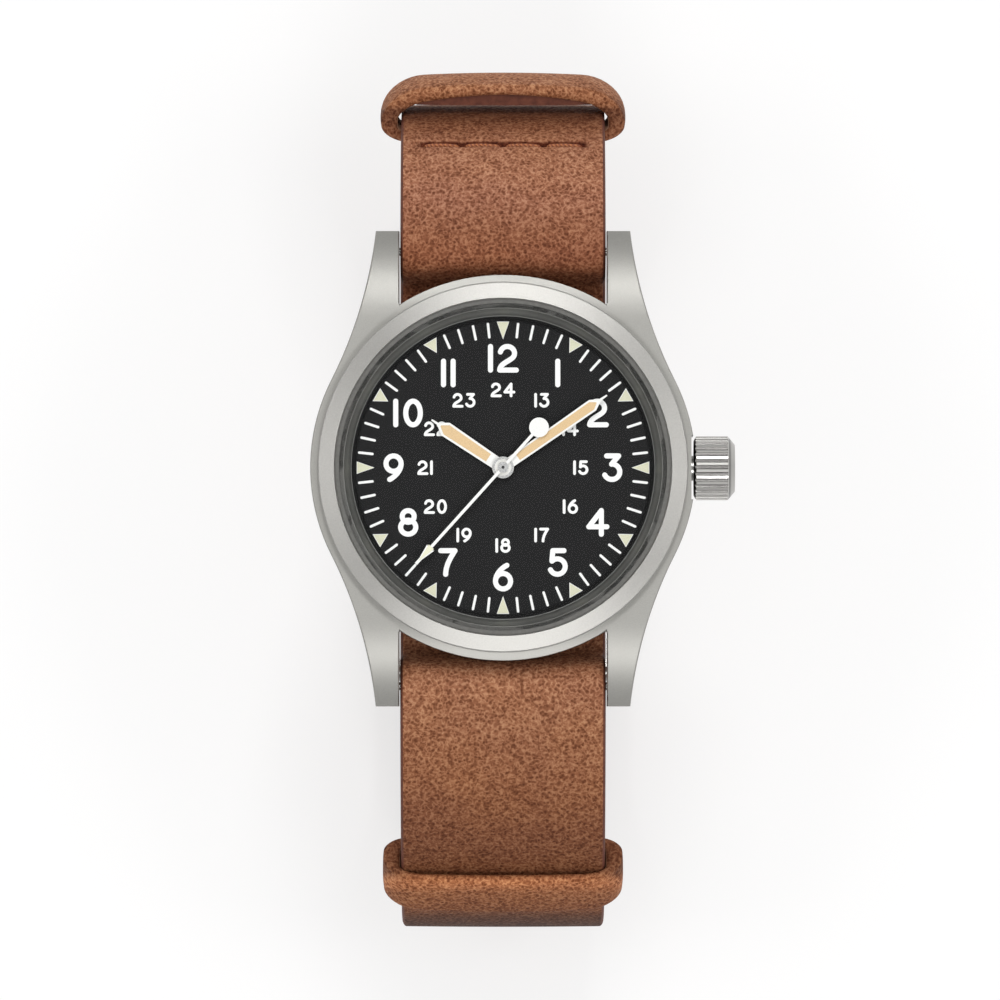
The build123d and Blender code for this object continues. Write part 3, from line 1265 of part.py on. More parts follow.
def main_plate():
    body = post(MOVEMENT_R, BRIDGE_TOP_Z, PLATE_TOP_Z)
    for pocket in train_pockets(BLOCK_GAP):
        body -= pocket
    body -= post(DIAL_SIDE_R, DIAL_SIDE_Z, PLATE_TOP_Z + OVERRUN)
    setting_room = SETTING_TEETH * CANNON_MODULE / 2 + BLOCK_GAP
    body -= post(setting_room, DIAL_SIDE_Z, PLATE_TOP_Z + OVERRUN, SETTING_AT)
    for slot in stem_slots():
        body -= slot
    body += post(CROWN_WHEEL_BORE_R - RUN_GAP, RATCHET_Z, CROWN_WHEEL_TOP_Z, CROWN_WHEEL_AT)
    body -= lever_pocket()
    groove_end = STEM_GROOVE_X + STEM_GROOVE_W + CROWN_PULL + RUN_GAP
    half = STEM_R + BLOCK_GAP / 2
    body -= block(
        (STEM_GROOVE_X - OVERRUN, groove_end), (-half, half), (STEM_Z, PLATE_TOP_Z + OVERRUN))
    body -= rod(STEM_R + RUN_GAP, SLIDING_PINION_X, MOVEMENT_R + OVERRUN)
    body -= rod(STEM_PIVOT_R + RUN_GAP, STEM_PIVOT_X - SEAT_GAP, SLIDING_PINION_X)
    body -= post(CENTRE_TUBE_R, BRIDGE_TOP_Z - OVERRUN, PLATE_TOP_Z + OVERRUN)
    for at in (THIRD_AT, SECOND_AT, ESCAPE_AT, PALLET_AT, BALANCE_AT):
        body -= post(PIVOT_R + RUN_GAP, PLATE_UNDER_Z - OVERRUN, DIAL_SIDE_Z + OVERRUN, at)
    body -= post(ARBOR_PIVOT_R + RUN_GAP, BARREL_POCKET_Z - OVERRUN, DIAL_SIDE_Z + RUN_GAP, BARREL_AT)
    for at in (MINUTE_AT, SETTING_AT):
        body += post(MINUTE_STUD_R, DIAL_SIDE_Z, MINUTE_STUD_TOP_Z, at)
    for at in (setting_lever_pivot(), (YOKE_X, YOKE_Y)):
        body += post(LEVER_PIVOT_R, DIAL_SIDE_Z, MINUTE_STUD_TOP_Z, at)
    for angle in DIAL_FOOT_ANGLES:
        at = polar(DIAL_FOOT_PLACE_R, angle)
        low = PLATE_TOP_Z - DIAL_FOOT_L - SEAT_GAP
        body -= post(DIAL_FOOT_R + RUN_GAP, low, PLATE_TOP_Z + OVERRUN, at)
    for angle in BRIDGE_SCREW_ANGLES:
        at = polar(BRIDGE_SCREW_PLACE_R, angle)
        body -= post(SCREW_R, BRIDGE_TOP_Z - OVERRUN, MOVEMENT_BASE_Z + SCREW_L, at)
    return body


def bridge(shares, screws, pivots):
    """Bridge with its pivot jewels' and screws' holes, clipped to the movement."""
    outline = [(x * MOVEMENT_R, y * MOVEMENT_R) for x, y in shares]
    plan = Circle(MOVEMENT_R - BRIDGE_GAP) & make_face(Polyline(*outline, close=True))
    body = slab(plan, MOVEMENT_BASE_Z, BRIDGE_TOP_Z)
    for at in pivots:
        body -= post(JEWEL_R, MOVEMENT_BASE_Z - OVERRUN, MOVEMENT_BASE_Z + JEWEL_T, at)
        body -= post(PIVOT_R + RUN_GAP, MOVEMENT_BASE_Z, BRIDGE_TOP_Z + OVERRUN, at)
    return body - screw_holes(screws)


def screw_holes(angles):
    holes = []
    for angle in angles:
        at = polar(BRIDGE_SCREW_PLACE_R, angle)
        head_top = MOVEMENT_BASE_Z + SCREW_HEAD_T
        holes.append(post(SCREW_HEAD_R + SEAT_GAP, MOVEMENT_BASE_Z - OVERRUN, head_top, at))
        holes.append(post(SCREW_R, MOVEMENT_BASE_Z, BRIDGE_TOP_Z + OVERRUN, at))
    return holes


def barrel_bridge():
    body = bridge(BARREL_BRIDGE_SHARES, BRIDGE_SCREW_ANGLES[:2], ())
    body -= post(
        ARBOR_SHOULDER_R + RUN_GAP, MOVEMENT_BASE_Z - OVERRUN, BRIDGE_TOP_Z + OVERRUN, BARREL_AT)
    crown_wheel_r = CROWN_WHEEL_TEETH * WINDING_MODULE / 2 + WINDING_MODULE + BLOCK_GAP / 2
    body -= post(crown_wheel_r, MOVEMENT_BASE_Z - OVERRUN, BRIDGE_TOP_Z + OVERRUN, CROWN_WHEEL_AT)
    at = click_pivot()
    return body + post(LEVER_PIVOT_R, RATCHET_Z, MOVEMENT_BASE_Z, at)


def train_bridge():
    pivots = (CENTRE, THIRD_AT, SECOND_AT, ESCAPE_AT)
    return bridge(TRAIN_BRIDGE_SHARES, BRIDGE_SCREW_ANGLES[2:4], pivots)


def balance_cock():
    """Arm from the rim of the movement over the balance."""
    plan = capsule(BALANCE_AT, cock_foot(), COCK_W) & Circle(MOVEMENT_R - BRIDGE_GAP)
    body = slab(plan, MOVEMENT_BASE_Z, BRIDGE_TOP_Z)
    body -= post(JEWEL_R, MOVEMENT_BASE_Z - OVERRUN, MOVEMENT_BASE_Z + JEWEL_T, BALANCE_AT)
    body -= post(PIVOT_R + RUN_GAP, MOVEMENT_BASE_Z, BRIDGE_TOP_Z + OVERRUN, BALANCE_AT)
    return body - screw_holes(BRIDGE_SCREW_ANGLES[4:]) + hairspring_stud()


def jewels():
    """Pierced jewels in the bridges."""
    return Compound([
        ring(PIVOT_R + RUN_GAP, JEWEL_R, MOVEMENT_BASE_Z, MOVEMENT_BASE_Z + JEWEL_T, at)
        for at in (THIRD_AT, SECOND_AT, ESCAPE_AT, BALANCE_AT)
    ])


def movement_screws():
    screws = []
    for angle in BRIDGE_SCREW_ANGLES:
        head_top = MOVEMENT_BASE_Z
        body = post(SCREW_HEAD_R, head_top, head_top + SCREW_HEAD_T)
        body += post(SCREW_R, head_top, head_top + SCREW_L)
        half = SCREW_SLOT_W / 2
        body -= block(
            (-SCREW_HEAD_R - OVERRUN, SCREW_HEAD_R + OVERRUN), (-half, half),
            (head_top - OVERRUN, head_top + SCREW_SLOT_DEPTH))
        at = polar(BRIDGE_SCREW_PLACE_R, angle)
        screws.append(Pos(at[0], at[1], 0) * Rot(0, 0, angle) * body)
    return Compound(screws)


# Hands
def hand_turn(angle):
    """Turn from the hand's own +X to its clockwise angle from twelve."""
    return Rot(0, 0, 90 - angle)


def bar_hand(length, width, neck, shoulder, needle, hub):
    """Outline of a hand that widens a little to its shoulder, then ends in a short needle."""
    half = (
        (0, neck / 2), (length - shoulder, width / 2), (length - needle, HAND_NEEDLE_W / 2),
        (length, HAND_TIP_W / 2),
    )
    outline = list(half) + [(x, -y) for x, y in reversed(half)]
    return make_face(Polyline(*outline, close=True)) + Circle(hub)


def hour_hand():
    plan = bar_hand(
        HOUR_HAND_L, HOUR_HAND_W, HOUR_HAND_NECK_W, HOUR_HAND_SHOULDER, HOUR_HAND_NEEDLE_L,
        HOUR_HUB_R)
    plan -= Circle(HOUR_PIPE_R)
    return hand_turn(HOUR_HAND_ANGLE) * slab(plan, HOUR_HAND_Z, HOUR_HAND_Z + HAND_T)


def minute_hand():
    plan = bar_hand(
        MINUTE_HAND_L, MINUTE_HAND_W, MINUTE_HAND_NECK_W, MINUTE_HAND_SHOULDER,
        MINUTE_HAND_NEEDLE_L, HAND_HUB_R)
    plan -= Circle(CANNON_PIPE_R)
    return hand_turn(MINUTE_HAND_ANGLE) * slab(plan, MINUTE_HAND_Z, MINUTE_HAND_Z + HAND_T)


def seconds_hand():
    needle = Pos(-SECONDS_TAIL_L) * Rectangle(
        SECONDS_TAIL_L + SECONDS_HAND_L, SECONDS_HAND_W, align=(Align.MIN, Align.CENTER))
    arrow = make_face(Polyline(
        (SECONDS_ARROW_START + SECONDS_ARROW_NOTCH, 0),
        (SECONDS_ARROW_START, SECONDS_ARROW_W / 2),
        (SECONDS_HAND_L, 0),
        (SECONDS_ARROW_START, -SECONDS_ARROW_W / 2),
        close=True,
    ))
    plan = needle + arrow + Circle(SECONDS_HUB_R) + Pos(-SECONDS_TAIL_L) * Circle(SECONDS_BALL_R)
    plan -= Circle(SECONDS_ARBOR_R)
    return hand_turn(SECONDS_HAND_ANGLE) * slab(plan, SECONDS_HAND_Z, SECONDS_HAND_Z + HAND_T)


# Spring bars
def bar_pin(side, way):
    """Sprung end of a bar: its tip stands in the lug, its head inside the tube."""
    tip = LUG_GAP / 2 + BAR_PIN_REACH
    start = tip - BAR_PIN_REACH - BAR_PIN_IN_L
    body = rod(BAR_PIN_R, start, tip, side * BAR_Y, BAR_Z)
    body += rod(BAR_PIN_HEAD_R, start, start + BAR_PIN_HEAD_L, side * BAR_Y, BAR_Z)
    return body if way > 0 else mirror(body, Plane.YZ)


def spring_bar_tube(side):
    half = BAR_L / 2
    body = rod(BAR_R, -half, half, side * BAR_Y, BAR_Z)
    inside = half - BAR_PIN_HEAD_L - BAR_WALL
    body -= rod(BAR_PIN_HEAD_R + RUN_GAP, -inside, inside, side * BAR_Y, BAR_Z)
    return body - rod(BAR_PIN_R + RUN_GAP, -half - OVERRUN, half + OVERRUN, side * BAR_Y, BAR_Z)


def spring_bar_tubes():
    return Compound([spring_bar_tube(side) for side in (1, -1)])


def spring_bar_springs():
    """Coil of each bar, as the sleeve that its turns fill between the two pins."""
    end = LUG_GAP / 2 - BAR_PIN_IN_L - BAR_PIN_TRAVEL - SEAT_GAP
    outer = BAR_PIN_HEAD_R
    return Compound([
        rod(outer, -end, end, side * BAR_Y, BAR_Z)
        - rod(outer - BAR_SPRING_WIRE, -end - OVERRUN, end + OVERRUN, side * BAR_Y, BAR_Z)
        for side in (1, -1)
    ])


# Strap
def lane(start, heading, moves, offset):
    """Edges beside a centreline of straight runs and arcs, and the lane's two ends."""
    edges = []
    at = Vector(*start)
    angle = heading
    first = None
    for turn, size in moves:
        left = Vector(*polar(1, angle + 90))
        here = at + left * offset
        first = first or here
        if turn == 0:
            at = at + Vector(*polar(size, angle))
            there = at + left * offset
            edges.append(Line(here, there))
        else:
            side = 1 if turn > 0 else -1
            centre = at + left * (side * size)
            radius = size - side * offset
            middle, there = (
                centre - Vector(*polar(side * radius, angle + part + 90)) for part in (turn / 2, turn))
            edges.append(ThreePointArc(here, middle, there))
            angle += turn
            at = centre - Vector(*polar(side * size, angle + 90))
    return edges, first, there


def band(start, heading, moves, thickness, width):
    """Strip of leather: a centreline of the side view, given its thickness and its width."""
    left, left_start, left_end = lane(start, heading, moves, thickness / 2)
    right, right_start, right_end = lane(start, heading, moves, -thickness / 2)
    caps = [Line(left_start, right_start), Line(left_end, right_end)]
    section = Plane.YZ * make_face(left + right + caps)
    return extrude(section, amount=width / 2, both=True)


def main_strap_moves():
    """The strap from the buckle round by twelve, under the head, round by six, to its tip."""
    low_12_y = REACH_12 - LOW_ARC_12
    low_6_y = LOW_ARC_6 - REACH_6
    return (
        (0, low_12_y - HEEL_Y),
        (90, LOW_ARC_12),
        (90 - SIDE_TILT, ARC_12),
        (SIDE_TILT + DIVE_ANGLE, WRAP_R),
        (0, DIVE_L),
        (-DIVE_ANGLE, BEND_R),
        (0, 2 * FLAT_HALF),
        (-DIVE_ANGLE, BEND_R),
        (0, DIVE_L),
        (SIDE_TILT + DIVE_ANGLE, WRAP_R),
        (90 - SIDE_TILT, ARC_6),
        (90, LOW_ARC_6),
        (0, STEP_END_Y - STEP_L - low_6_y),
        (-STEP_TURN, STEP_R),
        (STEP_TURN, STEP_R),
        (0, low_12_y - STEP_END_Y),
        (TAIL_ARC, LOW_ARC_12 + LAYER_STEP),
    )


def heel_at():
    return (HEEL_Y, LOOP_Z)


def tail_hole(y):
    """Round hole through the flat of the tail, seen from below."""
    face = LOOP_Z - LAYER_STEP + STRAP_T / 2
    return post(TAIL_HOLE_R, face - STRAP_T - OVERRUN, face + SEAT_GAP, (0, y))


def tongue_sweep(width):
    """Space that the tongue passes through as it swings out, with clearance round it."""
    closed = 180 + tongue_slope()
    reach = TONGUE_L + NOTCH_GAP
    thick = TONGUE_T + 2 * NOTCH_GAP
    points = [(0, 0)]
    for part in range(SWEEP_PARTS + 1):
        points.append(polar(reach, closed + part * TONGUE_SWING / SWEEP_PARTS))
    sweep = make_face(Polyline(*points, close=True))
    for angle in (closed, closed + TONGUE_SWING):
        sweep += capsule((0, 0), polar(reach - thick / 2, angle), thick)
    return extrude(Plane.YZ * (Pos(*heel_at()) * sweep), amount=width / 2, both=True)


def main_strap():
    body = band(heel_at(), 0, main_strap_moves(), STRAP_T, STRAP_W)
    fold_low = LOOP_Z - STRAP_T / 2 - FOLD_T
    half = STRAP_W / 2
    body += block((-half, half), (HEEL_Y, HEEL_Y + FOLD_L), (fold_low, LOOP_Z))
    body += rod(EYE_R, -half, half, HEEL_Y, LOOP_Z)
    body -= rod(HEEL_R + RUN_GAP, -half - OVERRUN, half + OVERRUN, HEEL_Y, LOOP_Z)
    eye_half = TONGUE_SLOT_W / 2
    eye_reach = TONGUE_EYE_R + BLOCK_GAP
    body -= block(
        (-eye_half, eye_half), (HEEL_Y - 2 * EYE_R, HEEL_Y + eye_reach),
        (LOOP_Z - eye_reach, LOOP_Z + eye_reach))
    body -= tongue_sweep(TONGUE_SLOT_W)
    for hole in range(TAIL_HOLES):
        y = HEEL_Y + (hole + 1) * TAIL_HOLE_PITCH
        if y < REACH_12 - LOW_ARC_12:
            body -= tail_hole(y)
    return body


def under_strap():
    """Short strap sewn inside the main one near twelve, ending in the lower keeper."""
    inner_12 = ARC_12 - UNDER_STEP
    inner_6 = ARC_6 - UNDER_STEP
    meet_12 = under_meet(inner_12, UNDER_BEND_12, WIDEST_12_Z)
    meet_6 = under_meet(inner_6, UNDER_BEND_6, WIDEST_6_Z)
    bend_12_y = CENTRE_12[0] + (inner_12 - UNDER_BEND_12) * cos(radians(meet_12))
    bend_6_y = CENTRE_6[0] - (inner_6 - UNDER_BEND_6) * cos(radians(meet_6))
    step = polar(inner_12, UNDER_END_12)
    start = (CENTRE_12[0] + step[0], CENTRE_12[1] + step[1])
    moves = (
        (meet_12 - UNDER_END_12, inner_12),
        (90 - meet_12, UNDER_BEND_12),
        (0, bend_12_y - bend_6_y),
        (90 - meet_6, UNDER_BEND_6),
        (meet_6 - UNDER_END_6, inner_6),
    )
    return band(start, 90 + UNDER_END_12, moves, UNDER_STRAP_T, STRAP_W)


def under_meet(inner, bend, widest_z):
    """Angle above the horizontal where the under-strap's bend meets the main strap's arc."""
    return degrees(asin((UNDER_STRAP_Z - bend - widest_z) / (inner - bend)))


def keeper_section(low, high):
    """Closed loop across the strap, with room for leather between two heights."""
    outer = RectangleRounded(KEEPER_OUT_W, high - low + 2 * KEEPER_T, KEEPER_CORNER_R)
    inner = RectangleRounded(KEEPER_IN_W, high - low, KEEPER_INNER_R)
    return Pos(0, (low + high) / 2) * (outer - inner)


def arc_keeper(centre, inner, outer, angle, spread):
    """Closed loop of leather round the straps where they bend."""
    middle = (0, *centre)
    start = Plane(middle, x_dir=(1, 0, 0), z_dir=(0, 0, 1)).rotated((angle - spread, 0, 0))
    return revolve(start * keeper_section(inner, outer), Axis(middle, (1, 0, 0)), 2 * spread)


def upper_keeper():
    """Keeper round the main strap alone, standing open for the tip of the strap."""
    inner = ARC_12 - STRAP_T / 2 - KEEPER_PLAY
    outer = ARC_12 + STRAP_T / 2 + UPPER_KEEPER_ROOM
    spread = degrees(KEEPER_BAND / 2 / ARC_12)
    return arc_keeper(CENTRE_12, inner, outer, UPPER_KEEPER_ANGLE, spread)


def lower_keeper():
    """Keeper at the end of the under-strap, close round both layers."""
    inner = ARC_6 - UNDER_STEP - UNDER_STRAP_T / 2 - KEEPER_PLAY
    outer = ARC_6 + STRAP_T / 2 + KEEPER_PLAY
    spread = degrees(KEEPER_BAND / 2 / ARC_6)
    return arc_keeper(CENTRE_6, inner, outer, 180 - LOWER_KEEPER_ANGLE, spread)


def buckle_keeper():
    """Keeper on the flat of the strap: the watch rests on its outer face."""
    section = keeper_section(TABLE_Z + KEEPER_T, LOOP_Z + STRAP_T / 2 + KEEPER_PLAY)
    return extrude(Plane.XZ * section, amount=BUCKLE_KEEPER_W / 2, both=True)


# Buckle
FRONT_Z = TABLE_Z + FRAME_BAR_T / 2
FRONT_Y = HEEL_Y - FRAME_L + FRAME_BAR_T / 2


def tongue_slope():
    """Angle by which the closed tongue points down towards the front bar."""
    drop = LOOP_Z - TABLE_Z - TONGUE_T / 2 - SEAT_GAP
    return degrees(asin(drop / TONGUE_L))


def frame_profile():
    """Side view of the frame: rails that slope from the heel bar to the front bar."""
    slope = capsule(heel_at(), (FRONT_Y, FRONT_Z), FRAME_RAIL_H)
    front = Pos(FRONT_Y, FRONT_Z) * Circle(FRAME_BAR_T / 2)
    heel = Pos(*heel_at()) * Circle(FRAME_BACK_L)
    return slope + front + heel


def buckle_frame():
    body = extrude(Plane.YZ * frame_profile(), amount=FRAME_OUT_W / 2, both=True)
    front_y = FRONT_Y - FRAME_BAR_T / 2
    back_y = HEEL_Y + FRAME_BACK_L
    plan = Pos(0, (front_y + back_y) / 2) * RectangleRounded(
        FRAME_OUT_W, back_y - front_y + SEAT_GAP, FRAME_CORNER_R)
    body &= slab(plan, TABLE_Z - OVERRUN, LOOP_Z + 2 * FRAME_BACK_L)
    inner = FRAME_IN_W / 2
    body -= block(
        (-inner, inner), (FRONT_Y + FRAME_BAR_T / 2, back_y + OVERRUN),
        (TABLE_Z - OVERRUN, LOOP_Z + 2 * FRAME_BACK_L))
    body -= rod(HEEL_R, -HEEL_L / 2, HEEL_L / 2, HEEL_Y, LOOP_Z)
    return body - tongue_sweep(TONGUE_W + 2 * NOTCH_GAP)


def buckle_bar():
    return rod(HEEL_R, -HEEL_L / 2, HEEL_L / 2, HEEL_Y, LOOP_Z)


def buckle_tongue():
    shank = capsule((0, 0), polar(TONGUE_L - TONGUE_T / 2, 180 + tongue_slope()), TONGUE_T)
    side = shank + Circle(TONGUE_EYE_R) - Circle(HEEL_R + RUN_GAP)
    return extrude(Plane.YZ * (Pos(*heel_at()) * side), amount=TONGUE_W / 2, both=True)


NODES = {
    "mid_case": mid_case,
    "bezel": bezel,
    "crystal": crystal,
    "crystal_gasket": crystal_gasket,
    "dial_ring": dial_ring,
    "dial": dial,
    "movement_ring": movement_ring,
    "case_back": case_back,
    "case_back_gasket": case_back_gasket,
    "crown_tube": crown_tube,
    "crown": crown,
    "crown_gasket": crown_gasket,
    "winding_stem": winding_stem,
    "winding_pinion": winding_pinion,
    "sliding_pinion": sliding_pinion,
    "setting_lever": setting_lever,
    "yoke": yoke,
    "crown_wheel": crown_wheel,
    "ratchet_wheel": ratchet_wheel,
    "barrel_arbor": barrel_arbor,
    "barrel_drum": barrel_drum,
    "barrel_cover": barrel_cover,
    "mainspring": mainspring,
    "click": click,
    "click_spring": click_spring,
    "seconds_wheel": seconds_wheel,
    "third_wheel": third_wheel,
    "second_wheel": second_wheel,
    "escape_wheel": escape_wheel,
    "pallet_fork": pallet_fork,
    "balance_wheel": balance_wheel,
    "hairspring": hairspring,
    "centre_tube": centre_tube,
    "cannon_pinion": cannon_pinion,
    "minute_wheel": minute_wheel,
    "hour_wheel": hour_wheel,
    "setting_wheel": setting_wheel,
    "main_plate": main_plate,
    "barrel_bridge": barrel_bridge,
    "train_bridge": train_bridge,
    "balance_cock": balance_cock,
    "jewels": jewels,
    "movement_screws": movement_screws,
    "hour_hand": hour_hand,
    "minute_hand": minute_hand,
    "seconds_hand": seconds_hand,
    "spring_bar_tubes": spring_bar_tubes,
    "spring_bar_springs": spring_bar_springs,
    "bar_pin_12_right": lambda: bar_pin(1, 1),
    "bar_pin_12_left": lambda: bar_pin(1, -1),
    "bar_pin_6_right": lambda: bar_pin(-1, 1),
    "bar_pin_6_left": lambda: bar_pin(-1, -1),
    "main_strap": main_strap,
    "under_strap": under_strap,
    "upper_keeper": upper_keeper,
    "lower_keeper": lower_keeper,
    "buckle_keeper": buckle_keeper,
    "buckle_frame": buckle_frame,
    "buckle_bar": buckle_bar,
    "buckle_tongue": buckle_tongue,
}


def main():
    os.makedirs("parts", exist_ok=True)
    for node, make in NODES.items():
        export_step(Pos(0, 0, HEAD_LIFT) * make(), f"parts/{node}.step")


main()
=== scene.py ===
"""Field watch on its closed leather strap, dressed for the picture.

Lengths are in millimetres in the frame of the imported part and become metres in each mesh.
The side view of the strap has Y to the right and Z up.
"""

import json
from functools import reduce
from math import acos, asin, ceil, cos, degrees, exp, pi, radians, sin

import bmesh
import bpy
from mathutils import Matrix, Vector

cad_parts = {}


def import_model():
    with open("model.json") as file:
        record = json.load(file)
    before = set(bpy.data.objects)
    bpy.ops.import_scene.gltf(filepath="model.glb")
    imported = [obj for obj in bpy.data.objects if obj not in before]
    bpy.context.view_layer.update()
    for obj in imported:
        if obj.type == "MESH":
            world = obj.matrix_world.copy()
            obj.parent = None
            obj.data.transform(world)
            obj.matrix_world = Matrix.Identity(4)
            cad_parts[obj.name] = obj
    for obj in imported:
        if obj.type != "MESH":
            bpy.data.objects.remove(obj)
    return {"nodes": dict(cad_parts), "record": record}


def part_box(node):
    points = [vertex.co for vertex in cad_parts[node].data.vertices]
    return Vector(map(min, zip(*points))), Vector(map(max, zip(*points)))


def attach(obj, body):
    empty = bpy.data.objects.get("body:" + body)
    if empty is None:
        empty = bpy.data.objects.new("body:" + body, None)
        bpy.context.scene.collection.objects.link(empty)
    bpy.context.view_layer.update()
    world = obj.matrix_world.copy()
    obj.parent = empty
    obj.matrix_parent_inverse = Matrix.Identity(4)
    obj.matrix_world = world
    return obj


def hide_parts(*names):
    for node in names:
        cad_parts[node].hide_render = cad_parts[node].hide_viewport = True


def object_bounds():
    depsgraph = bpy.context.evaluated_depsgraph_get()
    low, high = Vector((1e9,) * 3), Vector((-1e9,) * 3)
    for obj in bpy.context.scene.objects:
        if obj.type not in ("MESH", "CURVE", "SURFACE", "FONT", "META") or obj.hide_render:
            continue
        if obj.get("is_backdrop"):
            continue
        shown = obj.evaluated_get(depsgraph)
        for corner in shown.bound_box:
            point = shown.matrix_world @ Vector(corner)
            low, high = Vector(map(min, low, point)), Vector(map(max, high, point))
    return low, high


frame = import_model()
CAD_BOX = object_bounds()

MM = 0.001
CLOSE = 0.002  # gap between printed ink and the face under it


def low(node):
    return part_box(node)[0] / MM


def high(node):
    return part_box(node)[1] / MM


# Places read from the frame
LIFT = low("case_back").z
DIAL_Z = high("dial").z
STRAP_W = high("main_strap").x - low("main_strap").x
BAR_R = (high("spring_bar_tubes").z - low("spring_bar_tubes").z) / 2
BAR_Y = high("spring_bar_tubes").y - BAR_R
BAR_Z = high("spring_bar_tubes").z - BAR_R
HEEL_R = (high("buckle_bar").z - low("buckle_bar").z) / 2
HEEL_Y = high("buckle_bar").y - HEEL_R
LOOP_Z = high("buckle_bar").z - HEEL_R
KEEPER_OUT_W = high("upper_keeper").x - low("upper_keeper").x

# Strap
STRAP_T = 1.6
UNDER_STRAP_T = 1.2
FOLD_T = 0.58
STRAP_GAP = 0.08
LAYER_STEP = 2.3
DIVE_ANGLE = 65
SIDE_TILT = 15
BEND_R = 2.5
STEP_R = 8.0
EYE_R = 1.38
FOLD_L = 16.0
TAIL_ARC = 50
TAIL_HOLE_R = 0.9
TAIL_HOLE_PITCH = 6.5
TAIL_HOLES = 5
UNDER_BEND_12 = 3.5
UNDER_BEND_6 = 10.0
UNDER_END_12 = 26
UNDER_END_6 = 24
TONGUE_SLOT_W = 2.3
TONGUE_SLOT_L = 13.0
REACH_12 = high("main_strap").y - STRAP_T / 2
REACH_6 = -low("main_strap").y - STRAP_T / 2
EDGE_R = 0.42
EDGE_SHARE = 0.75  # of the thickness, that the edge paint covers
UNDER_EDGE_R = 0.34
CROWNING = 0.07  # rise of the faces in the middle of a strip
FOLD_EDGE_R = 0.2
FOLD_GAP = 0.06  # between the folded end and the buckle's bar
FOLD_LEAD = EYE_R + 0.6
SPLIT_GAP = 0.02  # by which the two eyes of the fold are narrower than their room
CUT_MARGIN = 0.3  # by which a cutter stands out of the leather
CUT_SPLIT = 0.1  # between the cutter of the slot and that of the eye

# Steps of the leather meshes: longest step, most degrees of a bend, points of a section
PACE = 0.8
TURN_PACE = 5
STRAP_COLUMNS = 72
UNDER_COLUMNS = 20
FOLD_COLUMNS = 12
EYE_COLUMNS = 8
KEEPER_COLUMNS = 14
EDGE_PARTS = 8
SOFT_ANGLE = 50  # faces that meet at more than this keep a sharp edge

# Sides of a strip, which are also the places of their materials
OUTSIDE = 0
PAINTED = 1
INSIDE = 2

# Seam that joins the two straps near twelve
SEAM_ANGLE = 39.3
SEAM_HALF = 8.2
SEAM_STITCHES = 4
SEAM_DEPTH = 0.42
SEAM_WIDE = 0.38
SEAM_FADE = 0.12  # at the ends of the groove
SEAM_REACH = 3.0  # along the strap, of the finer stations
SEAM_PACE = 0.1
DIP_DEPTH = 0.30
DIP_R = 0.42
THREAD_R = 0.21
THREAD_END = 0.55  # share of the thread's radius at its ends
THREAD_PARTS = 12
THREAD_MARGIN = 0.07  # share of a stitch's room that is free at each end
THREAD_SLANT = 0.10  # along the strap, from one end to the other
THREAD_RISE = 0.24  # of the middle of a stitch over its ends
THREAD_SINK = 0.094  # of its ends under the groove's floor
THREAD_SIDES = 10

# Keepers
KEEPER_T = 1.1
KEEPER_SIDE_T = 1.65
KEEPER_BAND = 6.0
KEEPER_PLAY = 0.12
KEEPER_EDGE_R = 0.4
UPPER_KEEPER_ROOM = 2.25
UPPER_KEEPER_ANGLE = 15
LOWER_KEEPER_ANGLE = 29.6
LOWER_KEEPER_HALF = 12.0
LOWER_KEEPER_RISE = 0.40
BUCKLE_KEEPER_W = 6.6
# Corners of a keeper's loop, as radii across and out: outer face, then inner face
OPEN_CORNERS = (((4.3, 3.7), (3.2, 2.2)), ((2.6, 2.0), (1.2, 1.0)))
TIGHT_CORNERS = (((3.6, 2.6), (2.6, 2.0)), ((2.2, 1.0), (0.7, 0.6)))
# Fall of a keeper's top towards its corners: outer and inner face, then far and near edge
OPEN_BOW = ((0.45, 0.9), (0.7, 1.4))
TIGHT_BOW = ((0.9, 0.6), (0.2, 0.5))
NO_BOW = ((0, 0), (0, 0))
CORNER_PARTS = 10  # steps of a corner, and of the runs after each corner
RUN_PARTS = (18, 4, 18, 4)
# Overlapped end of the leather inside the open keeper
JOINT_HALF = 9.0
JOINT_SHIFT = 0.1
JOINT_T = 1.02
JOINT_INSET = 0.25
JOINT_EDGE_R = 0.25

# Strap places worked out from these
WRAP_R = BAR_R + STRAP_GAP + STRAP_T / 2
UNDER_CASE_Z = LIFT - STRAP_GAP - STRAP_T / 2
UNDER_STEP = (STRAP_T + UNDER_STRAP_T) / 2 + STRAP_GAP
UNDER_STRAP_Z = UNDER_CASE_Z - UNDER_STEP
SIDE_Y = BAR_Y + WRAP_R * sin(radians(SIDE_TILT))
SIDE_Z = BAR_Z + WRAP_R * cos(radians(SIDE_TILT))
ARC_12 = (REACH_12 - SIDE_Y) / (1 - sin(radians(SIDE_TILT)))
ARC_6 = (REACH_6 - SIDE_Y) / (1 - sin(radians(SIDE_TILT)))
WIDEST_12_Z = SIDE_Z - ARC_12 * cos(radians(SIDE_TILT))
WIDEST_6_Z = SIDE_Z - ARC_6 * cos(radians(SIDE_TILT))
LOW_ARC_12 = WIDEST_12_Z - LOOP_Z
LOW_ARC_6 = WIDEST_6_Z - LOOP_Z
CENTRE_12 = (REACH_12 - ARC_12, WIDEST_12_Z)
CENTRE_6 = (ARC_6 - REACH_6, WIDEST_6_Z)
DIVE_DROP = BAR_Z + WRAP_R * cos(radians(DIVE_ANGLE)) - UNDER_CASE_Z
DIVE_L = (DIVE_DROP - BEND_R * (1 - cos(radians(DIVE_ANGLE)))) / sin(radians(DIVE_ANGLE))
FLAT_HALF = (
    BAR_Y - (WRAP_R + BEND_R) * sin(radians(DIVE_ANGLE)) - DIVE_L * cos(radians(DIVE_ANGLE))
)

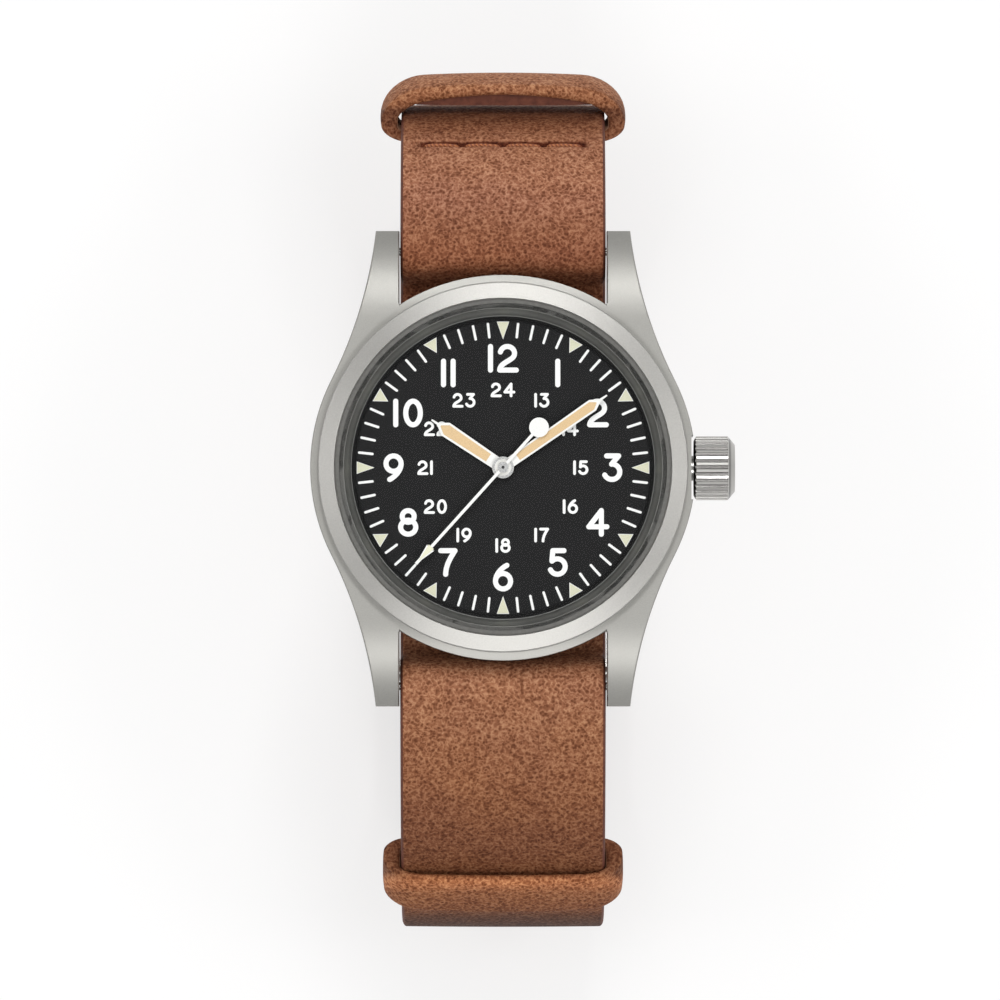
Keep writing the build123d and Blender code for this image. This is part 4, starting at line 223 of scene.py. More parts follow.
# Crown: depth of its grooves under its outside, and of their crests
CROWN_GROOVE_T = 0.30
CROWN_CREST_T = 0.04
CROWN_CAP_L = 0.7

# Dial ring: from its blackened foot to its outer lip
RING_IN_R = 14.6
RING_OUT_R = 16.2

# Dial print: radii, heights and stroke widths
PRINT_T = 0.02
NUMERAL_R = 10.9
NUMERAL_H = 2.9
NUMERAL_STROKE = 0.51
INNER_R = 7.75
INNER_H = 1.46
INNER_STROKE = 0.275
DIGIT_SHARE = 0.72  # width of a digit in its height
DIGIT_SHARES = {"1": 0.19, "4": 0.80}
DIGIT_GAP = 0.14
DIGIT_HALF = 0.405  # from the middle of a digit to the end of its centrelines
STROKE_RISE = 0.003  # climb of a stroke, so that it can cross itself
STROKE_TIP = 0.08
STROKE_END_PARTS = 6
TICK_IN_R = 12.95
TICK_OUT_R = 14.52
TICK_W = 0.25
HOUR_MARK_IN_R = 13.2
HOUR_MARK_OUT_R = 14.56
HOUR_MARK_W = 1.5
QUARTER_MARK_IN_R = 12.8
QUARTER_MARK_W = 1.24
HOUR_MARK_T = 0.05
HOUR_MARK_RIM = 0.05  # paler, round a mark

# Hands: angles from +X, the luminous fields in them, and the rims and cap of their hubs
HOUR_ANGLE = 90 - 303.8
MINUTE_ANGLE = 90 - 55.2
SECONDS_ANGLE = 90 - 222
LUME_T = 0.04
HOUR_FIELD = ((1.75, 0.44), (6.75, 0.54), (7.45, 0.06))
MINUTE_FIELD = ((1.8, 0.36), (10.75, 0.43), (11.3, 0.05))
SECONDS_FIELD = ((10.65, 0.34), (12.45, 0.03))
HUB_RIM_R = 1.06
HUB_LINE_R = 0.84
HUB_DISC_R = 0.55
HUB_DOT_R = 0.15
HUB_T = 0.06

# Camera: where it stands over the dial, and its lens
CAMERA_X = -0.30
CAMERA_Y = -3.22
CAMERA_ABOVE = 1250
CAMERA_TILT = 1.8  # towards six o'clock
CAMERA_LENS = 452
CAMERA_SENSOR = 36
CAMERA_REACH = (10, 20000)  # nearest and farthest that it shows

# Stage: floor, even light of the surroundings, and soft lamps over the dial
FLOOR_HALF = 1500
FLOOR_GLOW = 0.6  # share of the floor that is plain white to the camera
SKY = 0.60
LAMPS = (
    ("top", (60, 760, 1280), (260, 420), 5.2),
    ("bottom", (60, -760, 1280), (260, 420), 4.4),
    ("right", (760, 60, 1280), (420, 260), 2.0),
    ("left", (-760, 60, 1280), (420, 260), 1.8),
)


# Mesh helpers
def add_mesh(name, points, faces, materials, face_slots=None, smooth=True):
    """Mesh object from points in millimetres, with its normals turned outward."""
    mesh = bpy.data.meshes.new(name)
    mesh.from_pydata([Vector(p) * MM for p in points], [], faces)
    for material in materials:
        mesh.materials.append(material)
    if face_slots:
        mesh.polygons.foreach_set("material_index", face_slots)
    shape = bmesh.new()
    shape.from_mesh(mesh)
    bmesh.ops.recalc_face_normals(shape, faces=shape.faces)
    shape.to_mesh(mesh)
    shape.free()
    mesh.polygons.foreach_set("use_smooth", [smooth] * len(mesh.polygons))
    piece = bpy.data.objects.new(name, mesh)
    bpy.context.scene.collection.objects.link(piece)
    return piece


def select(*pieces):
    bpy.ops.object.select_all(action="DESELECT")
    for piece in pieces:
        piece.select_set(True)
    bpy.context.view_layer.objects.active = pieces[0]


def join(name, pieces):
    """Makes one object of several."""
    select(*pieces)
    bpy.ops.object.join()
    pieces[0].name = name
    pieces[0].data.name = name
    return pieces[0]


def soft_corners(piece):
    """Smooth shading that leaves the sharp edges sharp."""
    select(piece)
    bpy.ops.object.shade_smooth_by_angle(angle=radians(SOFT_ANGLE))


def all_points(rings):
    return [point for ring in rings for point in ring]


def skin(rings, looped=False):
    """Faces over rings of points, and the column of each. Both ends of an open row are closed."""
    count = len(rings[0])
    total = len(rings) * count
    faces = []
    columns = []
    for a in range(0, total if looped else total - count, count):
        b = (a + count) % total
        for column in range(count):
            after = (column + 1) % count
            faces.append((a + column, a + after, b + after, b + column))
            columns.append(column)
    if not looped:
        faces += [tuple(range(count)), tuple(range(total - count, total))]
        columns += [-1, -1]
    return faces, columns


def walk(start, heading, moves):
    """Stations along straight runs and arcs: y, z, direction in degrees, distance run."""
    y, z = start
    angle = heading
    run = 0
    stations = [(y, z, angle, run)]
    for turn, size in moves:
        length = size * radians(abs(turn)) if turn else size
        parts = max(ceil(length / PACE), ceil(abs(turn) / TURN_PACE))
        for _ in range(parts):
            step = length / parts
            bend = turn / parts
            chord = 2 * size * sin(radians(abs(bend)) / 2) if turn else step
            middle = radians(angle + bend / 2)
            y += chord * cos(middle)
            z += chord * sin(middle)
            angle += bend
            run += step
            stations.append((y, z, angle, run))
    return stations


def between(first, second, parts):
    """Points that divide the run from one point to the next, without its ends."""
    shares = [k / parts for k in range(1, parts)]
    return [tuple(a + (b - a) * share for a, b in zip(first, second)) for share in shares]


def on_arc(centre, radius, angle):
    return centre[0] + radius * cos(radians(angle)), centre[1] + radius * sin(radians(angle))


def leather_section(width, thickness, edge_r, columns):
    """Section of a strip, as (across, up, side of the strip) round it."""
    half = width / 2
    flat = half - edge_r
    points = []
    for side, rise, face in ((1, CROWNING, OUTSIDE), (-1, CROWNING / 2, INSIDE)):
        for k in range(columns + 1):
            x = side * (2 * flat * k / columns - flat)
            points.append((x, -side * (thickness / 2 + rise * (1 - (x / half) ** 2)), face))
        points += rounded_edge(half, thickness, edge_r, side)
    return points


def rounded_edge(half, thickness, edge_r, side):
    """Points of one rounded edge between the two faces of a strip, without its ends."""
    points = []
    for k in range(1, EDGE_PARTS):
        turn = radians(-90 + 180 * k / EDGE_PARTS)
        x = half - edge_r + edge_r * cos(turn)
        up = side * thickness / 2 * sin(turn)
        face = OUTSIDE if up < 0 else INSIDE
        points.append((side * x, up, PAINTED if abs(up) < EDGE_SHARE * thickness / 2 else face))
    return points


def strip(name, stations, section, materials, relief=None, shift=0):
    """Leather swept along stations of the side view. Its outside is the right-hand side."""
    rings = []
    for y, z, angle, run in stations:
        left = (-sin(radians(angle)), cos(radians(angle)))
        ring = []
        for x, up, kind in section:
            if relief and kind == OUTSIDE:
                up += relief(run, x)
            ring.append((x + shift, y + left[0] * up, z + left[1] * up))
        rings.append(ring)
    return skinned_strip(name, rings, section, materials)


def skinned_strip(name, rings, section, materials, looped=False):
    faces, columns = skin(rings, looped)
    slots = [strip_slot(section, column) for column in columns]
    piece = add_mesh(name, all_points(rings), faces, materials, slots)
    soft_corners(piece)
    return piece


def strip_slot(section, column):
    """Material of the faces between one point of the section and the next."""
    if column < 0:
        return PAINTED
    kind = section[column][2]
    return kind if kind == section[(column + 1) % len(section)][2] else PAINTED


def tube(name, points, radius, material):
    """Round thread along points, with rounded ends."""
    rings = []
    last = len(points) - 1
    for k, point in enumerate(points):
        ahead = (Vector(points[min(k + 1, last)]) - Vector(points[max(k - 1, 0)])).normalized()
        side = ahead.cross(Vector((0, 0, 1)))
        side = side.normalized() if side.length > CLOSE else Vector((1, 0, 0))
        up = side.cross(ahead)
        size = radius * (THREAD_END if k in (0, last) else 1)
        rings.append([
            Vector(point) + (side * cos(turn) + up * sin(turn)) * size
            for turn in (2 * pi * j / THREAD_SIDES for j in range(THREAD_SIDES))
        ])
    return add_mesh(name, all_points(rings), skin(rings)[0], [material])


def prism(name, outline, bottom, top, material, rim=None, inner=None):
    """Flat plate with the given outline. With an inner outline it gets a second material."""
    rings = [[(x, y, z) for x, y in outline] for z in (bottom, top)]
    if inner:
        rings.append([(x, y, top) for x, y in inner])
    materials = [rim, material] if inner else [material]
    faces = skin(rings)[0]
    slots = [0] * (len(faces) - 1) + [len(materials) - 1]
    return add_mesh(name, all_points(rings), faces, materials, slots, smooth=False)


def turned_points(points, angle):
    """Points of a plan turned about the origin."""
    c, s = cos(radians(angle)), sin(radians(angle))
    return [(x * c - y * s, x * s + y * c) for x, y in points]


def disc(radius, parts):
    turns = [2 * pi * k / parts for k in range(parts)]
    return [(radius * cos(turn), radius * sin(turn)) for turn in turns]


# Shader helpers
NOISE_LOW = 0.3  # most of a noise lies between these
NOISE_HIGH = 0.7


def new_material(name):
    material = bpy.data.materials.new(name)
    material.use_nodes = True
    tree = material.node_tree
    tree.nodes.clear()
    body = add_node(tree, "BsdfPrincipled")
    add_node(tree, "OutputMaterial", {"Surface": body.outputs["BSDF"]})
    return material, tree, body


def add_node(tree, kind, values=None, **settings):
    """Shader node with its settings, then its inputs by their names or places."""
    node = tree.nodes.new("ShaderNode" + kind)
    for key, value in settings.items():
        setattr(node, key, value)
    feed(tree, node, values or {})
    return node


def find_node(tree, kind):
    return next(node for node in tree.nodes if node.type == kind)


def link_or_set(tree, value, socket):
    if isinstance(value, bpy.types.NodeSocket):
        tree.links.new(value, socket)
    elif isinstance(value, tuple):
        socket.default_value = (*value, 1)
    else:
        socket.default_value = value


def feed(tree, node, values):
    """Links or sets inputs of a node."""
    for name, value in values.items():
        link_or_set(tree, value, node.inputs[name])


def place(tree):
    """Coordinates on the object, in millimetres."""
    where = add_node(tree, "TexCoord").outputs["Object"]
    return add_node(tree, "Mapping", {"Vector": where, "Scale": [1 / MM] * 3}).outputs["Vector"]


def along(tree, axis):
    """One coordinate of the object, in millimetres."""
    return add_node(tree, "SeparateXYZ", {0: place(tree)}).outputs[axis]


def noise(tree, vector, scale, detail=3, roughness=0.5):
    return add_node(tree, "TexNoise", {
        "Vector": vector, "Scale": scale, "Detail": detail, "Roughness": roughness,
    }).outputs["Fac"]


def ramp(tree, factor, *stops):
    """Colour ramp through (place, colour) stops."""
    node = add_node(tree, "ValToRGB", {"Fac": factor})
    elements = node.color_ramp.elements
    while len(elements) < len(stops):
        elements.new(0.5)
    for element, (at, colour) in zip(elements, stops):
        element.position = at
        element.color = (*colour, 1)
    return node.outputs["Color"]


def tinted(tree, factor, dark, light):
    """Colour that goes from dark to light with a noise."""
    return ramp(tree, factor, (NOISE_LOW, dark), (NOISE_HIGH, light))


def value_range(tree, factor, start, end, from_low=NOISE_LOW, from_high=NOISE_HIGH):
    return add_node(tree, "MapRange", {
        "Value": factor, "From Min": from_low, "From Max": from_high,
        "To Min": start, "To Max": end,
    }).outputs["Result"]


def mix(tree, factor, first, second, blend="MIX"):
    values = {0: factor, 6: first, 7: second}
    return add_node(tree, "Mix", values, data_type="RGBA", blend_type=blend).outputs[2]


def math(tree, operation, first, second=0.0):
    return add_node(tree, "Math", {0: first, 1: second}, operation=operation).outputs[0]


def math_all(tree, operation, values):
    """One operation over several values in turn."""
    return reduce(lambda first, second: math(tree, operation, first, second), values)


def bump(tree, body, height, depth, strength):
    node = add_node(tree, "Bump", {
        "Height": height, "Distance": depth * MM, "Strength": strength})
    feed(tree, body, {"Normal": node.outputs["Normal"]})


def blend_shaders(tree, share, first, second):
    """Surface that goes from the first shader to the second."""
    blend = add_node(tree, "MixShader", {0: share, 1: first.outputs[0], 2: second.outputs[0]})
    feed(tree, find_node(tree, "OUTPUT_MATERIAL"), {"Surface": blend.outputs[0]})


# Leather: colours from low to high places of the grain, the leather's own tone with painted shade
# in the hollows and painted highlight on the ridges
GRAIN_TONE_AND_PAINTED_LIGHT = (
    (0.20, (0.150, 0.052, 0.024)), (0.52, (0.335, 0.142, 0.075)), (0.92, (0.56, 0.30, 0.175)))
GRAIN_SHARES = (0.36, 0.34, 0.34)  # of ridges, pebbles and patches in the grain's height
WORM_SCALE = 1.9  # winding ridges per millimetre
WORM_WIDTH = 0.095
PEBBLE = 2.7  # pebbles per millimetre
PEBBLE_SMOOTH = 0.3
PEBBLE_SPAN = (0.15, 0.75)
PEBBLE_DEPTH = 0.07
PATCH_SCALE = 0.45
CLOUD_SCALE = 0.16
# Painted light and shade along the straps: painted shadow beside the case, under the keepers and on
# the tail, darker towards the lower keeper, and a painted highlight on its front; place from six to
# twelve, then tint
PAINTED_LIGHT_ALONG_STRAPS = (
    (-46.0, (0.15, 0.12, 0.10)), (-44.6, (0.30, 0.24, 0.18)), (-44.0, (0.60, 0.50, 0.38)),
    (-42.3, (0.80, 0.70, 0.56)), (-41.5, (1.25, 1.10, 0.88)), (-41.0, (1.15, 1.02, 0.82)),
    (-40.2, (0.50, 0.44, 0.38)), (-36.6, (0.54, 0.46, 0.40)),
    (-31.0, (0.80, 0.74, 0.64)), (-25.0, (0.88, 0.85, 0.79)), (-21.5, (0.95, 0.93, 0.90)),
    (20.5, (0.72, 0.59, 0.53)), (23.6, (0.74, 0.65, 0.62)), (27.0, (0.98, 0.94, 0.98)),
    (30.0, (1.02, 0.99, 1.00)), (32.6, (0.96, 0.92, 0.90)), (34.4, (0.66, 0.57, 0.50)),
    (35.6, (0.46, 0.40, 0.36)), (36.4, (0.46, 0.40, 0.36)), (37.0, (0.82, 0.74, 0.62)),
    (39.0, (1.02, 0.98, 0.88)),
)
# Painted shade in and along the seam's groove: tint, reach beside it, into it, and fade
SEAM_SHADE = (0.30, 0.15, 0.10)
SEAM_SHADE_HALF = 0.34
SEAM_SHADE_REACH = 1.2
SEAM_SHADE_FADE = 0.16


def near_seam(tree):
    """Mask of the painted seam shade: 1 on the leather along the line of stitches, falling to 0
    beside it.
    """
    turn = radians(SEAM_ANGLE)
    y, z = on_arc(CENTRE_12, ARC_12 + STRAP_T / 2, SEAM_ANGLE)
    off_y = math(tree, "SUBTRACT", along(tree, "Y"), y)
    off_z = math(tree, "SUBTRACT", along(tree, "Z"), z)

    def toward(share_y, share_z):
        parts = math(tree, "MULTIPLY", off_y, share_y), math(tree, "MULTIPLY", off_z, share_z)
        return math(tree, "ABSOLUTE", math(tree, "ADD", *parts))

    def within(distance, reach, fade):
        return value_range(tree, distance, 1.0, 0.0, reach, reach + fade)

    return math_all(tree, "MULTIPLY", (
        within(math(tree, "ABSOLUTE", along(tree, "X")), SEAM_HALF, SEAM_SHADE_HALF),
        within(toward(-sin(turn), cos(turn)), SEAM_SHADE_HALF, SEAM_SHADE_FADE),
        within(toward(cos(turn), sin(turn)), SEAM_SHADE_REACH, SEAM_SHADE_FADE),
    ))


def grain_leather():
    """Fine grained brown leather: pale winding ridges and dark hollows that are partly painted
    highlight and shade, and painted light and shade along the straps.
    """
    material, tree, body = new_material("leather_grain")
    at = place(tree)
    winding = noise(tree, at, WORM_SCALE, 2)
    off = math(tree, "ABSOLUTE", math(tree, "SUBTRACT", winding, 0.5))
    ridges = value_range(tree, off, 1.0, 0.0, 0.0, WORM_WIDTH)
    cells = add_node(tree, "TexVoronoi", {
        "Vector": at, "Scale": PEBBLE, "Smoothness": PEBBLE_SMOOTH}, feature="SMOOTH_F1")
    pebbles = value_range(tree, cells.outputs["Distance"], 0.0, 1.0, *PEBBLE_SPAN)
    patches = noise(tree, at, PATCH_SCALE, 4)
    forms = zip((ridges, pebbles, patches), GRAIN_SHARES)
    level = math_all(tree, "ADD", [math(tree, "MULTIPLY", form, share) for form, share in forms])
    first, last = PAINTED_LIGHT_ALONG_STRAPS[0][0], PAINTED_LIGHT_ALONG_STRAPS[-1][0]
    shares = [((y - first) / (last - first), tint) for y, tint in PAINTED_LIGHT_ALONG_STRAPS]
    # painted light and shade along the straps, by their place from six to twelve
    light_along_straps = ramp(tree, value_range(tree, along(tree, "Y"), 0, 1, first, last), *shares)
    clouds = tinted(tree, noise(tree, at, CLOUD_SCALE), (0.92, 0.88, 0.90), (1.06, 1.04, 1.0))
    # painted shade along the seam's groove
    seam_shade = mix(tree, near_seam(tree), (1, 1, 1), SEAM_SHADE)
    # the grain's own tone, darkened as painted shade in its hollows and lightened as painted
    # highlight on its ridges
    colour = ramp(tree, level, *GRAIN_TONE_AND_PAINTED_LIGHT)
    for tint in (light_along_straps, clouds, seam_shade):
        colour = mix(tree, 1.0, colour, tint, "MULTIPLY")
    feed(tree, body, {
        "Base Color": colour,
        "Roughness": value_range(tree, level, 0.72, 0.58, 0.3, 0.9),
        "Specular IOR Level": 0.12,
    })
    bump(tree, body, level, PEBBLE_DEPTH, 0.8)
    return material


def lining_leather():
    """Smoother tan leather on the wrist side."""
    material, tree, body = new_material("leather_lining")
    at = place(tree)
    fibres = noise(tree, at, 2.4, 6, 0.65)
    feed(tree, body, {
        "Base Color": tinted(tree, fibres, (0.27, 0.125, 0.065), (0.46, 0.24, 0.15)),
        "Roughness": 0.78,
    })
    bump(tree, body, noise(tree, at, 5.5, 5, 0.7), 0.05, 0.7)
    return material


def painted_edge():
    """Dark red-brown edge paint, slightly uneven."""
    material, tree, body = new_material("leather_edge")
    uneven = noise(tree, place(tree), 1.6, 4)
    feed(tree, body, {
        "Base Color": tinted(tree, uneven, (0.085, 0.026, 0.016), (0.155, 0.052, 0.032)),
        "Roughness": value_range(tree, uneven, 0.55, 0.70),
        "Specular IOR Level": 0.15,
    })
    bump(tree, body, uneven, 0.06, 0.6)
    return material


def waxed_thread():
    material, tree, body = new_material("waxed_thread")
    twist = add_node(
        tree, "TexWave", {"Vector": place(tree), "Scale": 1.4, "Distortion": 1.2},
        wave_type="BANDS", bands_direction="DIAGONAL")
    strands = twist.outputs["Fac"]
    feed(tree, body, {
        "Base Color": ramp(tree, strands, (0.0, (0.24, 0.06, 0.02)), (1.0, (0.50, 0.17, 0.055))),
        "Roughness": 0.5,
    })
    bump(tree, body, strands, 0.06, 0.8)
    return material


# Metals: dark and light colour, roughness, specks per millimetre and their depth
METALS = {
    "case_steel": ((0.34, 0.335, 0.315), (0.41, 0.402, 0.378), (0.42, 0.52), 10.0, 0.010),
    "turned_steel": ((0.37, 0.362, 0.345), (0.44, 0.432, 0.41), (0.36, 0.44), 7.0, 0.004),
    "polished_steel": ((0.36, 0.355, 0.345), (0.45, 0.44, 0.425), (0.20, 0.30), 2.0, 0.003),
    "movement_steel": ((0.50, 0.50, 0.49), (0.66, 0.66, 0.65), (0.25, 0.40), 6.0, 0.004),
    "movement_brass": ((0.62, 0.46, 0.20), (0.74, 0.57, 0.27), (0.28, 0.42), 7.0, 0.004),
    "wheel_brass": ((0.72, 0.53, 0.22), (0.84, 0.66, 0.30), (0.18, 0.32), 6.0, 0.003),
    "hub_grey": ((0.66, 0.66, 0.65), (0.76, 0.76, 0.75), (0.22, 0.34), 6.0, 0.003),
}
# Colours of the crown by depth: painted shade in its grooves, the steel's own colour on its crests
# and cap
CROWN_GROOVE_SHADE_STOPS = (
    (0.0, (0.055, 0.053, 0.050)), (0.45, (0.16, 0.155, 0.15)), (1.0, (0.52, 0.51, 0.49)))
# From the inner foot of the dial ring, which is blackened, to its outer lip; the lighter and darker
# bands across it are painted highlight and shade
RING_FOOT_AND_LIGHT_BANDS = (
    (0.0, (0.010, 0.010, 0.010)), (0.28, (0.013, 0.013, 0.013)), (0.33, (0.20, 0.20, 0.19)),
    (0.55, (0.34, 0.34, 0.32)), (0.75, (0.26, 0.26, 0.245)), (0.9, (0.50, 0.49, 0.46)),
    (1.0, (0.36, 0.355, 0.33)),
)


def finish(name, dark, light, roughness, speck, depth, gloss=None):
    """Metal, or paint of some gloss, with a slight unevenness of its colour and surface."""
    material, tree, body = new_material(name)
    uneven = noise(tree, place(tree), speck, 4, 0.6)
    feed(tree, body, {"Base Color": tinted(tree, uneven, dark, light)})
    if gloss is None:
        feed(tree, body, {"Metallic": 1.0, "Roughness": value_range(tree, uneven, *roughness)})
    else:
        feed(tree, body, {"Specular IOR Level": gloss, "Roughness": roughness})
    bump(tree, body, uneven, depth, 0.5)
    return material


def turn_finish(material):
    """Gives a metal fine rings round the axis of the watch."""
    tree = material.node_tree
    around = add_node(tree, "Tangent", direction_type="RADIAL", axis="Z")
    feed(tree, find_node(tree, "BSDF_PRINCIPLED"), {
        "Anisotropic": 0.85, "Tangent": around.outputs[0]})


def crown_steel():
    """Satin steel with painted shade in its grooves, which are darker than their crests and its
    cap.
    """
    material, tree, body = new_material("crown_steel")
    middle = (low("crown") + high("crown")) / 2
    radius = (high("crown").y - low("crown").y) / 2
    squares = [
        math(tree, "POWER", math(tree, "SUBTRACT", along(tree, axis), centre), 2)
        for axis, centre in (("Y", middle.y), ("Z", middle.z))
    ]
    height = value_range(
        tree, math(tree, "SQRT", math(tree, "ADD", *squares)), 0, 1,
        radius - CROWN_GROOVE_T, radius - CROWN_CREST_T)
    cap_x = high("crown").x - CROWN_CAP_L
    cap = value_range(tree, along(tree, "X"), 0, 0.9, cap_x, cap_x + CROWN_CAP_L / 2)
    at = place(tree)
    feed(tree, body, {
        # painted shade in the grooves
        "Base Color": ramp(tree, math(tree, "MAXIMUM", height, cap), *CROWN_GROOVE_SHADE_STOPS),
        "Roughness": value_range(tree, noise(tree, at, 3.0), 0.30, 0.38),
        "Metallic": 1.0,
    })
    bump(tree, body, noise(tree, at, 12.0), 0.002, 0.4)
    return material


def ring_grey():
    """Satin ring round the dial, with bands of painted highlight and shade by its distance from the
    middle.
    """
    material, tree, body = new_material("ring_grey")
    at = place(tree)
    flat = add_node(tree, "VectorMath", {0: at, 1: [1, 1, 0]}, operation="MULTIPLY")
    reach = add_node(tree, "VectorMath", {0: flat.outputs["Vector"]}, operation="LENGTH")
    share = value_range(tree, reach.outputs["Value"], 0, 1, RING_IN_R, RING_OUT_R)
    speck = tinted(tree, noise(tree, at, 12.0, 4, 0.6), (0.93, 0.93, 0.93), (1.07, 1.07, 1.07))
    feed(tree, body, {
        # painted highlight and shade bands by the distance from the middle
        "Base Color": mix(tree, 1.0, ramp(tree, share, *RING_FOOT_AND_LIGHT_BANDS), speck, "MULTIPLY"),
        "Metallic": 1.0,
        "Roughness": 0.46,
    })
    return material


# Paints and rubber: dark and light colour, roughness, specks per millimetre, depth, gloss
PAINTS = {
    "seal_grey": ((0.115, 0.113, 0.105), (0.155, 0.152, 0.142), 0.5, 3.0, 0.004, 0.3),
    "dial_black": ((0.012, 0.012, 0.0125), (0.0175, 0.0175, 0.018), 0.7, 14.0, 0.004, 0.12),
    "hand_white": ((0.90, 0.895, 0.87), (0.95, 0.945, 0.92), 0.38, 5.0, 0.004, 0.5),
    "print_white": ((0.92, 0.92, 0.905), (0.97, 0.97, 0.955), 0.55, 8.0, 0.004, 0.5),
    "lume_tan": ((0.70, 0.49, 0.26), (0.82, 0.59, 0.33), 0.7, 9.0, 0.01, 0.5),
    "lume_cream": ((0.80, 0.79, 0.58), (0.88, 0.87, 0.67), 0.7, 9.0, 0.01, 0.5),
    "lume_green": ((0.68, 0.67, 0.49), (0.77, 0.765, 0.58), 0.7, 9.0, 0.01, 0.5),
    "dark_dot": ((0.012, 0.012, 0.012), (0.022, 0.022, 0.022), 0.4, 6.0, 0.004, 0.5),
    "rubber_seal": ((0.012, 0.012, 0.012), (0.028, 0.028, 0.028), 0.75, 4.0, 0.01, 0.5),
}
CRYSTAL_IOR = 1.16  # low, as by a coating against reflections


def ruby():
    material, tree, body = new_material("ruby")
    cloud = noise(tree, place(tree), 3.0)
    feed(tree, body, {
        "Base Color": tinted(tree, cloud, (0.42, 0.01, 0.07), (0.62, 0.02, 0.12)),
        "Roughness": 0.08,
        "Transmission Weight": 0.4,
    })
    return material


def sapphire():
    """Clear crystal: it lets the dial show and has a faint gloss on its outer faces."""
    material, tree, body = new_material("sapphire")
    tree.nodes.remove(body)
    cloud = noise(tree, place(tree), 0.4, 2)
    tint = tinted(tree, cloud, (0.985, 0.99, 0.99), (1, 1, 1))
    clear = add_node(tree, "BsdfTransparent", {"Color": tint})
    rough = value_range(tree, cloud, 0.03, 0.06)
    gloss = add_node(tree, "BsdfAnisotropic", {"Roughness": rough})
    bend = add_node(tree, "Fresnel", {"IOR": CRYSTAL_IOR})
    # The ray isn't bent, so a gloss on the inner faces would be a mirror at low angles
    outer = math(tree, "SUBTRACT", 1, add_node(tree, "NewGeometry").outputs["Backfacing"])
    blend_shaders(tree, math(tree, "MULTIPLY", bend.outputs[0], outer), clear, gloss)
    return material


GRAIN = grain_leather()
LINING = lining_leather()
EDGE = painted_edge()
THREAD = waxed_thread()
LEATHERS = [GRAIN, EDGE, LINING]

# Materials by the names of their slots, and those of single nodes
MATERIALS = {name: finish(name, *values) for name, values in (METALS | PAINTS).items()}
MATERIALS |= {
    "sapphire": sapphire(), "ring_grey": ring_grey(), "ruby": ruby(), "strap_leather": GRAIN}
turn_finish(MATERIALS["turned_steel"])
NODE_MATERIALS = {
    "bezel": MATERIALS["turned_steel"],
    "case_back": MATERIALS["turned_steel"],
    "crystal_gasket": MATERIALS["seal_grey"],
    "crown": crown_steel(),
}


def dress_nodes():
    """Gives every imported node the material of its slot."""
    for part in frame["record"]["subparts"]:
        node = frame["nodes"][part["node"]]
        node.data.materials.clear()
        plain = MATERIALS[part["material_slot"]]
        node.data.materials.append(NODE_MATERIALS.get(part["node"], plain))


# Strap
def main_moves():
    low_12_y = REACH_12 - LOW_ARC_12
    low_6_y = LOW_ARC_6 - REACH_6
    step_turn = degrees(acos(1 - LAYER_STEP / (2 * STEP_R)))
    step_l = 2 * STEP_R * sin(radians(step_turn))
    step_end_y = HEEL_Y - EYE_R
    return (
        (0, low_12_y - HEEL_Y),
        (90, LOW_ARC_12),
        (90 - SIDE_TILT, ARC_12),
        (SIDE_TILT + DIVE_ANGLE, WRAP_R),
        (0, DIVE_L),
        (-DIVE_ANGLE, BEND_R),
        (0, 2 * FLAT_HALF),
        (-DIVE_ANGLE, BEND_R),
        (0, DIVE_L),
        (SIDE_TILT + DIVE_ANGLE, WRAP_R),
        (90 - SIDE_TILT, ARC_6),
        (90, LOW_ARC_6),
        (0, step_end_y - step_l - low_6_y),
        (-step_turn, STEP_R),
        (step_turn, STEP_R),
        (0, low_12_y - step_end_y),
        (TAIL_ARC, LOW_ARC_12 + LAYER_STEP),
    )


def main_strap():
    """The long strap, with its seam, tail holes and the slot for the tongue."""
    stations = walk((HEEL_Y, LOOP_Z), 0, main_moves())
    seam_run = REACH_12 - LOW_ARC_12 - HEEL_Y + LOW_ARC_12 * pi / 2 + ARC_12 * radians(SEAM_ANGLE)

    piece = strip(
        "strap_main", fine_near(stations, seam_run),
        leather_section(STRAP_W, STRAP_T, EDGE_R, STRAP_COLUMNS), LEATHERS,
        lambda run, x: seam_relief(run - seam_run, x))
    cut(piece, strap_cutters())
    return piece


def fine_near(stations, run):
    """Adds stations close to one place, so that a seam has enough points."""
    closer = []
    for first, second in zip(stations, stations[1:]):
        closer.append(first)
        if abs(first[3] - run) < SEAM_REACH:
            closer += between(first, second, ceil((second[3] - first[3]) / SEAM_PACE))
    return closer + [stations[-1]]


def seam_relief(off, x):
    """Depth of the pressed groove, with a deeper dip where each stitch goes in."""
    if abs(off) > 3 * SEAM_WIDE:
        return 0
    inside = 1 / (1 + exp((abs(x) - SEAM_HALF - SEAM_WIDE) / SEAM_FADE))
    depth = SEAM_DEPTH * exp(-(off / SEAM_WIDE) ** 2) * inside
    for k in range(SEAM_STITCHES + 1):
        hole = -SEAM_HALF + 2 * SEAM_HALF * k / SEAM_STITCHES
        depth += DIP_DEPTH * exp(-((x - hole) ** 2 + off ** 2) / DIP_R ** 2)
    return depth


def seam_threads():
    """One row of long stitches through both straps."""
    radius = ARC_12 + STRAP_T / 2
    pitch = 2 * SEAM_HALF / SEAM_STITCHES
    threads = []
    for k in range(SEAM_STITCHES):
        start = -SEAM_HALF + (k + THREAD_MARGIN) * pitch
        points = []
        for j in range(THREAD_PARTS + 1):
            share = j / THREAD_PARTS
            out = radius - SEAM_DEPTH - THREAD_SINK + THREAD_RISE * sin(pi * share) ** 0.5
            slant = THREAD_SLANT * (share - 0.5)
            y, z = on_arc(CENTRE_12, out, SEAM_ANGLE + degrees(slant / radius))
            points.append((start + pitch * (1 - 2 * THREAD_MARGIN) * share, y, z))
        threads.append(tube(f"stitch_{k}", points, THREAD_R, THREAD))
    return join("seam_stitches", threads)


def pin_mesh(name, radius, y, z_range):
    rings = [[(x, y + up, z) for x, up in disc(radius, 32)] for z in z_range]
    return add_mesh(name, all_points(rings), skin(rings)[0], [EDGE])


